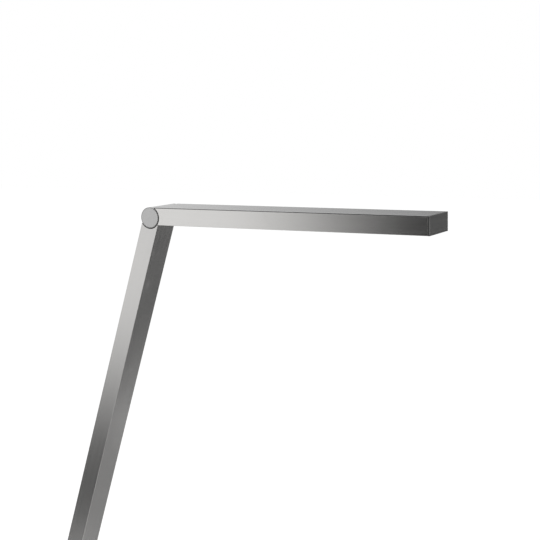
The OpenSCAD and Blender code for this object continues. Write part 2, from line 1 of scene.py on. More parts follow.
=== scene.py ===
"""Floor lamp: looks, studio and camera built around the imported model.

Everything is in metres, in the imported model's own frame: +Z up, the floor at z = 0, +X from the
stem's foot towards the head's tip. Head and stem are flush on the -Y side.
"""

from __future__ import annotations

import json
import logging
import math
from dataclasses import dataclass, field
from enum import Enum

import bmesh
import bpy
from mathutils import Matrix, Vector


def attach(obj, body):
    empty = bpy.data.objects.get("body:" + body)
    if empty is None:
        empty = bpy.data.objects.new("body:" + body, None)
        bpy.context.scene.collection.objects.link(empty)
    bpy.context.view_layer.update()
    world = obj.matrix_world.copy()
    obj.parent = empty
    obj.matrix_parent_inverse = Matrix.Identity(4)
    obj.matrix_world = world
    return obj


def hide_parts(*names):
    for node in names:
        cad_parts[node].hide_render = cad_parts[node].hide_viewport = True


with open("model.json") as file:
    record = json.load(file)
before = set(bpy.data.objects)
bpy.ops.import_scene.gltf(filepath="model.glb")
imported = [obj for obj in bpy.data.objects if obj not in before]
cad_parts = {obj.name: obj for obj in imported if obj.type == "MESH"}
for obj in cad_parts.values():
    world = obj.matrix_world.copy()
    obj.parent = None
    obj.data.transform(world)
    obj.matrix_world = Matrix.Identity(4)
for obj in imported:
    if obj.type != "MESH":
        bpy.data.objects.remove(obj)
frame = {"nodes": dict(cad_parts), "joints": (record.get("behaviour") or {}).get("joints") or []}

LOG = logging.getLogger("floor_lamp")
MM = 0.001
LEAN = math.radians(18.3)
NEAR_Y = -0.0255
HEAD_MIDDLE_Y = 0.012


def hinge_axis() -> Vector:
    """Gives the point on the hinge axis at y = 0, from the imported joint."""
    joint = next(j for j in frame["joints"] if j["name"] == "head_hinge")
    return Vector(joint["pos_m"])


PIVOT = hinge_axis()
TO_METRES = Matrix.Scale(MM, 4)
HEAD_FRAME = Matrix.Translation(PIVOT + Vector((0, HEAD_MIDDLE_Y, 0))) @ TO_METRES
HINGE_FRAME = Matrix.Translation(PIVOT + Vector((0, NEAR_Y, 0))) @ TO_METRES
STEM_FRAME = Matrix.Translation(PIVOT) @ Matrix.Rotation(LEAN, 4, "Y") @ TO_METRES
ALONG_X = Matrix(((0, 0, 1, 0), (1, 0, 0, 0), (0, 1, 0, 0), (0, 0, 0, 1)))
ALONG_Y = Matrix.Rotation(-math.pi / 2, 4, "X")
ALONG_X_BAR = Matrix.Rotation(math.pi / 2, 4, "Y")
LEVEL = Matrix.Rotation(-LEAN, 4, "Y")
FLOOR_TO_STEM = Matrix.Translation(PIVOT / MM) @ Matrix.Rotation(LEAN, 4, "Y")

# Sizes in millimetres that several pieces share. Heights are from the hinge axis, and x in the stem's
# frame is across its narrow side. Cutters start a little past a face, or far outside the piece.
RING_RADIUS = 19.0
RING_SIDES = 160
HEAD_UNDERSIDE = -12.4
HEAD_FLOOR = -10.4
COVER_SEAT = 16.0
REST_LEVEL = -12.8
STEM_FACE = -12.8
STEM_SCREWS = (-41.0, -66.0)
LEAD_HOLE = 2.9
LEAD_X = 3.2
BLOCK_SCREWS = ((35.0, 23.333),)
BUTTON_X = 472.0
CUTTER_PAST = 1.0
CUTTER_FAR = 300.0


# ---------------------------------------------------------------- shader building


class Wire:
    """A shader socket that can be used in sums, on its own or with plain numbers."""

    def __init__(self, graph: "Graph", socket: bpy.types.NodeSocket) -> None:
        """Keeps the socket and the graph that it belongs to."""
        self.graph = graph
        self.socket = socket

    def __add__(self, other: "Value") -> "Wire":
        """Sum."""
        return self.graph.math("ADD", self, other)

    def __radd__(self, other: "Value") -> "Wire":
        """Sum with the wire on the right."""
        return self.graph.math("ADD", other, self)

    def __sub__(self, other: "Value") -> "Wire":
        """Difference."""
        return self.graph.math("SUBTRACT", self, other)

    def __rsub__(self, other: "Value") -> "Wire":
        """Difference with the wire on the right."""
        return self.graph.math("SUBTRACT", other, self)

    def __mul__(self, other: "Value") -> "Wire":
        """Product."""
        return self.graph.math("MULTIPLY", self, other)

    def __rmul__(self, other: "Value") -> "Wire":
        """Product with the wire on the right."""
        return self.graph.math("MULTIPLY", other, self)

    def __pow__(self, other: "Value") -> "Wire":
        """Power."""
        return self.graph.math("POWER", self, other)


Value = float | int | Wire
Triple = tuple[float, float, float]
Colour = Triple
PLAIN: Triple = (1, 1, 1)
STILL: Triple = (0, 0, 0)


def dimmed(colour: Colour, share: float) -> Colour:
    """A colour at a share of its level."""
    return tuple(level * share for level in colour)


class Graph:
    """The node tree of one material or world, with short ways to add to it."""

    def __init__(self, tree: bpy.types.NodeTree) -> None:
        """Empties the tree.

        Args:
            tree: the node tree to fill.
        """
        self.tree = tree
        tree.nodes.clear()

    @classmethod
    def of_material(cls, name: str) -> tuple["Graph", bpy.types.Material]:
        """Makes a material with an empty tree.

        Args:
            name: the material's name.

        Returns:
            The graph and its material.
        """
        material = bpy.data.materials.new(name)
        material.use_nodes = True
        return cls(material.node_tree), material

    def node(self, kind: str, settings: dict | None = None, sockets: dict | None = None) -> bpy.types.Node:
        """Adds a node.

        Args:
            kind: the node's type, such as "ShaderNodeMath".
            settings: the node's own properties, which are set first.
            sockets: values or wires by input name or index.

        Returns:
            The node.
        """
        made = self.tree.nodes.new(kind)
        for key, value in (settings or {}).items():
            setattr(made, key, value)
        for key, value in (sockets or {}).items():
            socket = made.inputs[key]
            if isinstance(value, Wire):
                self.tree.links.new(value.socket, socket)
            elif isinstance(value, tuple) and len(value) == 3 and socket.type == "RGBA":
                socket.default_value = (*value, 1.0)
            else:
                socket.default_value = value
        return made

    def wire(self, node: bpy.types.Node, output: str | int = 0) -> Wire:
        """Wraps one output of a node."""
        return Wire(self, node.outputs[output])

    def math(self, operation: str, a: Value, b: Value | None = None) -> Wire:
        """Adds a Math node.

        Args:
            operation: the node's operation.
            a: the first value or wire.
            b: the second value or wire, if the operation takes one.

        Returns:
            The node's result.
        """
        sockets = {0: a} if b is None else {0: a, 1: b}
        return self.wire(self.node("ShaderNodeMath", {"operation": operation}, sockets))

    def smooth(self, value: Value, low: float, high: float) -> Wire:
        """Adds a soft step from 0 to 1.

        Args:
            value: the value that it steps on.
            low: where the step is 0.
            high: where the step is 1, which may be the smaller number.

        Returns:
            The step.
        """
        settings = {"interpolation_type": "SMOOTHSTEP"}
        turned = high < low
        ends = (high, low) if turned else (low, high)
        sockets = {"Value": value, "From Min": ends[0], "From Max": ends[1]}
        step = self.wire(self.node("ShaderNodeMapRange", settings, sockets), "Result")
        return 1.0 - step if turned else step

    def mix(self, factor: Value, a: Colour | Wire, b: Colour | Wire) -> Wire:
        """Mixes two colours.

        Args:
            factor: the share of the second colour.
            a: the first colour.
            b: the second colour.

        Returns:
            The mixed colour.
        """
        node = self.node("ShaderNodeMix", {"data_type": "RGBA"})
        for index, value in ((0, factor), (6, a), (7, b)):
            socket = node.inputs[index]
            if isinstance(value, Wire):
                self.tree.links.new(value.socket, socket)
            else:
                socket.default_value = (*value, 1.0) if isinstance(value, tuple) else value
        return self.wire(node, 2)

    def place(self) -> Wire:
        """The point on the piece, in the model's own frame."""
        return self.wire(self.node("ShaderNodeTexCoord"), "Object")

    def axes(self, vector: Wire) -> tuple[Wire, Wire, Wire]:
        """Splits a vector into its three numbers."""
        node = self.node("ShaderNodeSeparateXYZ", None, {0: vector})
        return self.wire(node, 0), self.wire(node, 1), self.wire(node, 2)

    def seen(self) -> Wire:
        """Gives what kind of look falls on a surface.

        Returns:
            1 where the camera, a gloss or a clear piece looks, and 0 for other light.
        """
        path = self.node("ShaderNodeLightPath")
        camera = self.wire(path, "Is Camera Ray")
        gloss = self.wire(path, "Is Glossy Ray")
        clear = self.wire(path, "Is Transmission Ray")
        return self.math("MAXIMUM", self.math("MAXIMUM", camera, gloss), clear)

    def hinge_place(self) -> Wire:
        """The point on the piece, measured from the hinge axis."""
        return self.mapped(self.place(), PLAIN, STILL, tuple(-PIVOT))

    def mapped(self, vector: Wire, scale: Triple, turn: Triple = STILL, shift: Triple = STILL) -> Wire:
        """Moves, turns and then stretches a pattern's place.

        Args:
            vector: the place.
            scale: stretch along each axis after the turn.
            turn: turn about each axis in radians.
            shift: move before the turn.

        Returns:
            The new place.
        """
        moved = self.node("ShaderNodeMapping", None, {"Vector": vector, "Location": shift})
        turned = self.node("ShaderNodeMapping", None, {"Vector": self.wire(moved), "Rotation": turn})
        return self.wire(self.node("ShaderNodeMapping", None, {"Vector": self.wire(turned), "Scale": scale}))

    def noise(self, vector: Wire, scale: float, detail: float = 3.0, rough: float = 0.5) -> Wire:
        """Adds noise from 0 to 1 around one half."""
        sockets = {"Vector": vector, "Scale": scale, "Detail": detail, "Roughness": rough}
        return self.wire(self.node("ShaderNodeTexNoise", None, sockets), 0)

    def bump(self, height: Wire, distance: float, strength: float) -> Wire:
        """Turns a height from 0 to 1 into a normal."""
        sockets = {"Height": height, "Distance": distance, "Strength": strength}
        return self.wire(self.node("ShaderNodeBump", None, sockets))

    def surface(self, **sockets: Value | Colour | Wire) -> None:
        """Ends the graph in a Principled surface.

        Args:
            **sockets: values or wires by input name, with _ for each space.
        """
        named = {key.replace("_", " "): value for key, value in sockets.items()}
        shader = self.node("ShaderNodeBsdfPrincipled", None, named)
        self.end(self.wire(shader))

    def end(self, shader: Wire) -> None:
        """Joins a shader to the material's output."""
        self.node("ShaderNodeOutputMaterial", None, {"Surface": shader})


# ---------------------------------------------------------------- finishes


class Grain(Enum):
    """Which way the brush marks of a metal run."""

    ALONG_HEAD = "along_head"
    ALONG_STEM = "along_stem"
    ROUND_HINGE = "round_hinge"
    ACROSS_HEAD = "across_head"


@dataclass(frozen=True)
class BrushedAluminium:
    """Clear-anodised aluminium with fine brush marks, and a painted shade in its groove and along its seam.

    The seam's heights and the groove's radii are in metres from the hinge axis.
    """

    name: str
    grain: Grain
    light: Colour
    dark: Colour
    roughness: float
    spread: float = 0.05
    relief: float = 0.14
    streaks: float = 1.5
    # Heights of the band of painted shade along the seam, and radii of the band of painted shade in the
    # groove.
    seam: tuple[float, float] = (0.0, 0.0)
    groove: tuple[float, float] = (0.0, 0.0)
    # The colour of the painted shade in the seam and the groove.
    shade: Colour = (0.12, 0.12, 0.12)
    soft: float = 0.0001
    mean_radius: float = 0.01

    def _with_painted_shade(self, graph: Graph, tone: Wire) -> Wire:
        """Paints shade into the tone between the seam's heights and between the groove's radii.

        Args:
            graph: the material's graph.
            tone: the metal's tone.

        Returns:
            The tone with its painted shade.
        """
        x, _, z = graph.axes(graph.hinge_place())
        radius = (x * x + z * z) ** 0.5
        for where, (low, high) in ((z, self.seam), (radius, self.groove)):
            if high > 0.0:
                above = graph.smooth(where, low, low + self.soft)
                below = graph.smooth(where, high, high - self.soft)
                # Painted shade: the band between low and high turns to the shade colour.
                tone = graph.mix(above * below, tone, self.shade)
        return tone

    def _grain_place(self, graph: Graph) -> Wire:
        """Turns the place on the piece so that the marks run along x.

        Args:
            graph: the material's graph.

        Returns:
            The turned place.
        """
        if self.grain is Grain.ALONG_STEM:
            return graph.mapped(graph.place(), PLAIN, (0, math.pi / 2 - LEAN, 0))
        if self.grain is Grain.ACROSS_HEAD:
            return graph.mapped(graph.place(), PLAIN, (0, 0, -math.pi / 2))
        if self.grain is Grain.ROUND_HINGE:
            x, y, z = graph.axes(graph.hinge_place())
            radius = (x * x + z * z) ** 0.5
            round_axis = graph.math("ARCTAN2", z, x) * self.mean_radius
            return graph.wire(graph.node("ShaderNodeCombineXYZ", None, {0: round_axis, 1: radius, 2: y}))
        return graph.place()

    def material(self) -> bpy.types.Material:
        """Builds the material.

        Returns:
            The material, ready to use.
        """
        graph, made = Graph.of_material(self.name)
        place = self._grain_place(graph)
        marks = graph.noise(graph.mapped(place, (9, 1500, 1500)), 1.0, 4.0, 0.62)
        fine = graph.noise(graph.mapped(place, (26, 5200, 5200)), 1.0, 2.0, 0.5)
        band = graph.noise(graph.mapped(place, (2.2, 60, 60)), 1.0, 2.0, 0.5)
        coarse = graph.noise(graph.mapped(place, (7, 430, 430)), 1.0, 3.0, 0.6)
        cloud = graph.noise(graph.place(), 9.0, 3.0, 0.55)
        touch = graph.smooth(graph.noise(graph.place(), 31.0, 4.0, 0.6), 0.56, 0.72)
        streak = marks * 0.46 + fine * 0.2 + coarse * 0.24 + band * 0.1
        tone = graph.smooth(streak + (cloud - 0.5) * 0.25, 0.3, 0.7)
        uneven = (marks - 0.5) * 2.0 + (coarse - 0.5) * self.streaks + (cloud - 0.5)
        shine = self.roughness + uneven * self.spread + touch * 0.02
        graph.surface(
            Base_Color=self._with_painted_shade(graph, graph.mix(tone, self.dark, self.light)),
            Metallic=1.0,
            Roughness=shine,
            Normal=graph.bump(marks * 0.6 + fine * 0.4, 0.00004, self.relief),
        )
        return made


@dataclass(frozen=True)
class HingeMetal:
    """Milled aluminium: silver on the barrel's round face, and dark anodised elsewhere, which also serves as
    painted shade in the gaps round the barrel.
    """

    name: str
    silver: Colour = (0.72, 0.72, 0.72)
    dark: Colour = (0.07, 0.07, 0.073)
    inner: tuple[float, float] = (0.0169, 0.0172)
    outer: tuple[float, float] = (0.0179, 0.01775)

    def material(self) -> bpy.types.Material:
        """Builds the material.

        Returns:
            The material, ready to use.
        """
        graph, made = Graph.of_material(self.name)
        place = graph.hinge_place()
        x, _, z = graph.axes(place)
        radius = (x * x + z * z) ** 0.5
        # Off the barrel's round face the dark tone holds: partly the blocks' own anodising, partly painted
        # shade in the gaps.
        barrel = graph.smooth(radius, *self.inner) * graph.smooth(radius, *self.outer)
        marks = graph.noise(graph.mapped(place, (1100, 12, 1100)), 1.0, 3.0, 0.6)
        cloud = graph.noise(place, 60.0, 3.0, 0.5)
        dark = graph.mix(cloud, self.dark, dimmed(self.dark, 1.5))
        light = graph.mix(marks, dimmed(self.silver, 0.86), self.silver)
        graph.surface(
            Base_Color=graph.mix(barrel, dark, light),
            Metallic=1.0,
            Roughness=0.46 - barrel * 0.2 + (marks - 0.5) * 0.12,
            Normal=graph.bump(marks, 0.00004, 0.2),
        )
        return made


@dataclass(frozen=True)
class MilledAluminium:
    """Anodised aluminium with the arcs of a milling cutter."""

    name: str
    colour: Colour = (0.34, 0.34, 0.35)
    roughness: float = 0.42

    def material(self) -> bpy.types.Material:
        """Builds the material.

        Returns:
            The material, ready to use.
        """
        graph, made = Graph.of_material(self.name)
        place = graph.place()
        x, y, z = graph.axes(place)
        bow = graph.noise(place, 40.0, 2.0)
        path = x + y * y * 9.0 + z * 0.7 + bow * 0.0006
        arcs = graph.math("SINE", path * 5200.0) * 0.5 + 0.5
        grit = graph.noise(place, 2400.0, 3.0, 0.6)
        tone = graph.mix(arcs * 0.4 + grit * 0.6, dimmed(self.colour, 0.8), self.colour)
        graph.surface(
            Base_Color=tone,
            Metallic=1.0,
            Roughness=self.roughness + (grit - 0.5) * 0.16,
            Normal=graph.bump(arcs * 0.5 + grit * 0.5, 0.00005, 0.25),
        )
        return made


@dataclass(frozen=True)
class ScrewSteel:
    """Zinc-plated steel with turning marks and a faint patina."""

    name: str
    colour: Colour = (0.56, 0.56, 0.57)

    def material(self) -> bpy.types.Material:
        """Builds the material.

        Returns:
            The material, ready to use.
        """
        graph, made = Graph.of_material(self.name)
        place = graph.place()
        grit = graph.noise(place, 3200.0, 3.0, 0.65)
        cloud = graph.noise(place, 320.0, 3.0, 0.55)
        tone = graph.mix(cloud, dimmed(self.colour, 0.72), self.colour)
        graph.surface(
            Base_Color=tone,
            Metallic=1.0,
            Roughness=0.3 + cloud * 0.14,
            Normal=graph.bump(grit, 0.00003, 0.25),
        )
        return made


@dataclass(frozen=True)
class PowderCoat:
    """Fine-textured silver-grey powder coat on steel."""

    name: str
    colour: Colour = (0.47, 0.47, 0.465)
    flake: Colour = (0.72, 0.72, 0.72)

    def material(self) -> bpy.types.Material:
        """Builds the material.

        Returns:
            The material, ready to use.
        """
        graph, made = Graph.of_material(self.name)
        place = graph.place()
        peel = graph.noise(place, 900.0, 3.0, 0.6)
        grain = graph.noise(place, 2600.0, 2.0, 0.5)
        cloud = graph.noise(place, 7.0, 4.0, 0.55)
        flake = graph.smooth(grain, 0.6, 0.74)
        worn = graph.smooth(graph.noise(place, 23.0, 5.0, 0.65), 0.58, 0.74)
        tone = graph.mix(cloud, dimmed(self.colour, 0.9), self.colour)
        tone = graph.mix(flake * 0.5, tone, self.flake)
        graph.surface(
            Base_Color=tone,
            Metallic=0.35,
            Roughness=0.44 + (peel - 0.5) * 0.2 - worn * 0.05,
            Normal=graph.bump(peel * 0.7 + grain * 0.3, 0.00012, 0.35),
        )
        return made


@dataclass(frozen=True)
class Moulded:
    """Moulded plastic or rubber with a spark-eroded grain."""

    name: str
    colour: Colour
    roughness: float = 0.5
    grain: float = 1600.0
    relief: float = 0.2
    dust: float = 0.04
    dusted: Colour = (0.55, 0.54, 0.52)

    def material(self) -> bpy.types.Material:
        """Builds the material.

        Returns:
            The material, ready to use.
        """
        graph, made = Graph.of_material(self.name)
        place = graph.place()
        grit = graph.noise(place, self.grain, 3.0, 0.6)
        cloud = graph.noise(place, 28.0, 4.0, 0.6)
        dusty = graph.smooth(cloud, 0.5, 0.8) * self.dust
        tone = graph.mix(grit, dimmed(self.colour, 0.88), self.colour)
        graph.surface(
            Base_Color=graph.mix(dusty, tone, self.dusted),
            Roughness=self.roughness + (grit - 0.5) * 0.14 + dusty,
            Normal=graph.bump(grit, 0.00008, self.relief),
        )
        return made


@dataclass(frozen=True)
class Opal:
    """Satin opal plastic that scatters the light behind it."""

    name: str
    colour: Colour = (0.93, 0.93, 0.915)

    def material(self) -> bpy.types.Material:
        """Builds the material.

        Returns:
            The material, ready to use.
        """
        graph, made = Graph.of_material(self.name)
        place = graph.place()
        milk = graph.noise(place, 55.0, 3.0, 0.5)
        frost = graph.noise(place, 4200.0, 2.0, 0.5)
        graph.surface(
            Base_Color=graph.mix(milk, dimmed(self.colour, 0.95), self.colour),
            Roughness=0.32 + (frost - 0.5) * 0.12,
            Normal=graph.bump(frost, 0.00003, 0.2),
        )
        return made


@dataclass(frozen=True)
class SinteredBronze:
    """Porous oiled bronze."""

    name: str
    colour: Colour = (0.52, 0.36, 0.2)

    def material(self) -> bpy.types.Material:
        """Builds the material.

        Returns:
            The material, ready to use.
        """
        graph, made = Graph.of_material(self.name)
        place = graph.place()
        pores = graph.smooth(graph.noise(place, 3000.0, 4.0, 0.7), 0.35, 0.6)
        oil = graph.noise(place, 140.0, 3.0, 0.5)
        graph.surface(
            Base_Color=graph.mix(pores, dimmed(self.colour, 0.5), self.colour),
            Metallic=1.0,
            Roughness=0.34 + (oil - 0.5) * 0.2,
            Normal=graph.bump(pores, 0.00005, 0.3),
        )
        return made


Finish = (
    BrushedAluminium
    | HingeMetal
    | MilledAluminium
    | ScrewSteel
    | PowderCoat
    | Moulded
    | Opal
    | SinteredBronze
)


# ---------------------------------------------------------------- shapes in millimetres

Point = tuple[float, float]
Mesh = bmesh.types.BMesh


class Corner(Enum):
    """Which way a quarter round is met along a profile."""

    OUT_THEN_UP = "out_then_up"
    UP_THEN_IN = "up_then_in"


def quarter_turns(steps: int) -> list[float]:
    """The angles from 0 to a right angle in equal steps, in radians."""
    return [math.pi / 2 * i / steps for i in range(steps + 1)]


def quarter(radius: float, height: float, ease: float, corner: Corner, steps: int = 4) -> list[Point]:
    """Gives the points of a quarter round on a turned profile.

    Args:
        radius: radius of the sharp corner.
        height: height of the sharp corner.
        ease: size of the quarter round.
        corner: whether the profile comes outwards and then rises, or rises and then turns in.
        steps: the number of faces across it.

    Returns:
        Radius and height of each point, in the order that the profile meets them.
    """
    points = []
    for turn in quarter_turns(steps):
        falling, rising = ease * (1 - math.sin(turn)), ease * (1 - math.cos(turn))
        if corner is Corner.OUT_THEN_UP:
            points.append((radius - falling, height + rising))
        else:
            points.append((radius - rising, height - falling))
    return points


def arc(middle: Point, radius: float, start: float = 0.0, steps: int = 4) -> list[Point]:
    """Gives the points of a quarter circle, anticlockwise.

    Args:
        middle: its centre.
        radius: its radius.
        start: where it starts, in radians from +x.
        steps: the number of sides.

    Returns:
        The points, with both ends.
    """
    x, y = middle
    turns = [start + turn for turn in quarter_turns(steps)]
    return [(x + radius * math.cos(t), y + radius * math.sin(t)) for t in turns]


def rounded_outline(low: Point, high: Point, radius: float, steps: int = 4) -> list[Point]:
    """Gives a rectangle with round corners, anticlockwise.

    Args:
        low: its lowest corner.
        high: its highest corner.
        radius: radius of the corners.
        steps: the number of sides in each corner.

    Returns:
        The outline's points.
    """
    left, right = low[0] + radius, high[0] - radius
    bottom, top = low[1] + radius, high[1] - radius
    centres = ((right, top), (left, top), (left, bottom), (right, bottom))
    points = []
    for quadrant, centre in enumerate(centres):
        points += arc(centre, radius, math.pi / 2 * quadrant, steps)
    return points


def inset_outline(points: list[Point], depth: float) -> list[Point]:
    """Moves every side of an anticlockwise outline inwards.

    Args:
        points: the outline.
        depth: how far its sides move.

    Returns:
        The smaller outline, with as many points.
    """
    moved = []
    for i, here in enumerate(points):
        before, after = points[i - 1], points[(i + 1) % len(points)]
        first = Vector(here) - Vector(before)
        second = Vector(after) - Vector(here)
        first.normalize()
        second.normalize()
        inward = Vector((-first.y - second.y, first.x + second.x))
        share = depth / max(1e-6, 1 + first.dot(second))
        moved.append((here[0] + inward.x * share, here[1] + inward.y * share))
    return moved


def eased_stations(low: float, high: float, ease_low: float, ease_high: float, steps: int = 4) -> list[Point]:
    """Gives the heights and insets that round both ends of a prism.

    Args:
        low: height of the lower end.
        high: height of the upper end.
        ease_low: size of the lower rounding, or 0 for a sharp end.
        ease_high: size of the upper rounding, or 0 for a sharp end.
        steps: the number of faces across each rounding.

    Returns:
        Height and inset of each station, from low to high.
    """
    ends = []
    for height, ease, way in ((low, ease_low, 1), (high, ease_high, -1)):
        turns = quarter_turns(steps)[::way] if ease > 0.0 else [0.0]
        for turn in turns:
            ends.append((height + way * ease * (1 - math.cos(turn)), ease * (1 - math.sin(turn))))
    return ends


def prism(outline: list[Point], stations: list[Point]) -> Mesh:
    """Stacks copies of an outline into a closed solid.

    Args:
        outline: an anticlockwise outline in x and y.
        stations: height and inset of each copy, from low to high.

    Returns:
        The closed shape.
    """
    shape = bmesh.new()
    rings = []
    for height, inset in stations:
        ring = inset_outline(outline, inset) if inset > 1e-9 else outline
        rings.append([shape.verts.new((x, y, height)) for x, y in ring])
    count = len(outline)
    for low, high in zip(rings, rings[1:]):
        for i in range(count):
            j = (i + 1) % count
            shape.faces.new((low[i], low[j], high[j], high[i]))
    shape.faces.new(rings[0][::-1])
    shape.faces.new(rings[-1])
    return shape


def box(low: Triple, high: Triple, ease: float = 0.0) -> Mesh:
    """Makes a box, with its edges rounded if asked.

    Args:
        low: its lowest corner.
        high: its highest corner.
        ease: size of the rounding of its edges.

    Returns:
        The closed shape.
    """
    (x0, y0, z0), (x1, y1, z1) = low, high
    if ease > 0.0:
        upright_ease = ease * 1.5
        return prism(rounded_outline((x0, y0), (x1, y1), upright_ease), eased_stations(z0, z1, ease, ease))
    return prism([(x0, y0), (x1, y0), (x1, y1), (x0, y1)], [(z0, 0.0), (z1, 0.0)])


def turned(points: list[Point], sides: int = 96) -> Mesh:
    """Turns a profile about +Z into a closed solid.

    Args:
        points: radius and height of each point. The ends are on the axis, or the same point.
        sides: the number of faces round the axis.

    Returns:
        The closed shape.
    """
    shape = bmesh.new()
    rings = []
    for radius, height in points:
        count = 1 if radius < 1e-9 else sides
        turns = [2 * math.pi * i / sides for i in range(count)]
        rings.append([shape.verts.new((radius * math.cos(t), radius * math.sin(t), height)) for t in turns])
    for low, high in zip(rings, rings[1:]):
        for i in range(sides):
            j = (i + 1) % sides
            corners = [low[i % len(low)], low[j % len(low)], high[j % len(high)], high[i % len(high)]]
            kept = list(dict.fromkeys(corners))
            if len(kept) > 2:
                shape.faces.new(kept)
    bmesh.ops.remove_doubles(shape, verts=shape.verts, dist=1e-5)
    bmesh.ops.recalc_face_normals(shape, faces=shape.faces)
    return shape


def bar(radius: float, low: float, high: float, flare: float = 0.0, sides: int = 96) -> Mesh:
    """Makes a round bar about +Z, whose ends may flare out to cut a chamfer.

    Args:
        radius: the bar's radius.
        low: height of its lower end.
        high: height of its upper end.
        flare: how far each end widens.
        sides: the number of faces round it.

    Returns:
        The closed shape.
    """
    if flare <= 0.0:
        return turned([(0, low), (radius, low), (radius, high), (0, high)], sides)
    wide = radius + flare
    far = 2.0
    profile = [(0, low - far), (wide, low - far), (wide, low), (radius, low + flare), (radius, high - flare)]
    return turned(profile + [(wide, high), (wide, high + far), (0, high + far)], sides)


def sink(shank: float, head: float, length: float) -> Mesh:
    """Makes the cutter of a countersunk hole that points along +Z from its mouth.

    Args:
        shank: diameter of the hole.
        head: diameter of its mouth.
        length: its depth.

    Returns:
        The closed shape.
    """
    depth = (head - shank) / 2
    profile = [(0, -1), (head / 2, -1), (head / 2, 0), (shank / 2, depth), (shank / 2, length), (0, length)]
    return turned(profile, 48)


def as_mesh(shape: Mesh, name: str) -> bpy.types.Mesh:
    """Turns a shape into a mesh.

    Args:
        shape: the shape, which is used up.
        name: the mesh's name.

    Returns:
        The mesh.
    """
    mesh = bpy.data.meshes.new(name)
    shape.to_mesh(mesh)
    shape.free()
    return mesh


def linked(name: str, data: bpy.types.ID) -> bpy.types.Object:
    """Links an object into the scene, at the origin.

    Args:
        name: the object's name.
        data: its mesh, lamp or camera.

    Returns:
        The object.
    """
    made = bpy.data.objects.new(name, data)
    bpy.context.scene.collection.objects.link(made)
    return made


def placed(shape: Mesh, *places: Matrix) -> Mesh:
    """Copies a shape to each place and joins the copies.

    Args:
        shape: the shape, which is used up.
        *places: where its copies go.

    Returns:
        One shape that holds them all.
    """
    source = as_mesh(shape, "copy")
    whole = bmesh.new()
    for place in places:
        copy = source.copy()
        copy.transform(place)
        whole.from_mesh(copy)
        bpy.data.meshes.remove(copy)
    bpy.data.meshes.remove(source)
    return whole


def at(x: float = 0.0, y: float = 0.0, z: float = 0.0) -> Matrix:
    """A move, in the units of the shape."""
    return Matrix.Translation(Vector((x, y, z)))


def under_head(spots: tuple[Point, ...]) -> list[Matrix]:
    """Places on the head's underside on both sides of its middle, in millimetres."""
    return [at(x, side * y, HEAD_UNDERSIDE) for x, y in spots for side in (-1, 1)]


def on_stem(heights: Point) -> list[Matrix]:
    """Places on the stem's outer face that point into it, in the stem's own frame."""
    return [at(STEM_FACE, 0, z) @ ALONG_X_BAR for z in heights]


def over_stem() -> Mesh:
    """The space over the stem that the head's underside rests in, in the stem's own frame."""
    return placed(box((0, -CUTTER_FAR, REST_LEVEL), (CUTTER_FAR, CUTTER_FAR, CUTTER_FAR)), LEVEL)


def ring_cut(low: float, high: float, flare: float = 0.4) -> Mesh:
    """The round space about the hinge axis that the barrel turns in, from one y to another."""
    return placed(bar(RING_RADIUS, low, high, flare, RING_SIDES), ALONG_Y)


class Work(Enum):
    """What a shape does to the solid that it meets."""

    CUT = "DIFFERENCE"
    ADD = "UNION"


Steps = list[tuple[Work, Mesh]]


# ---------------------------------------------------------------- workshop


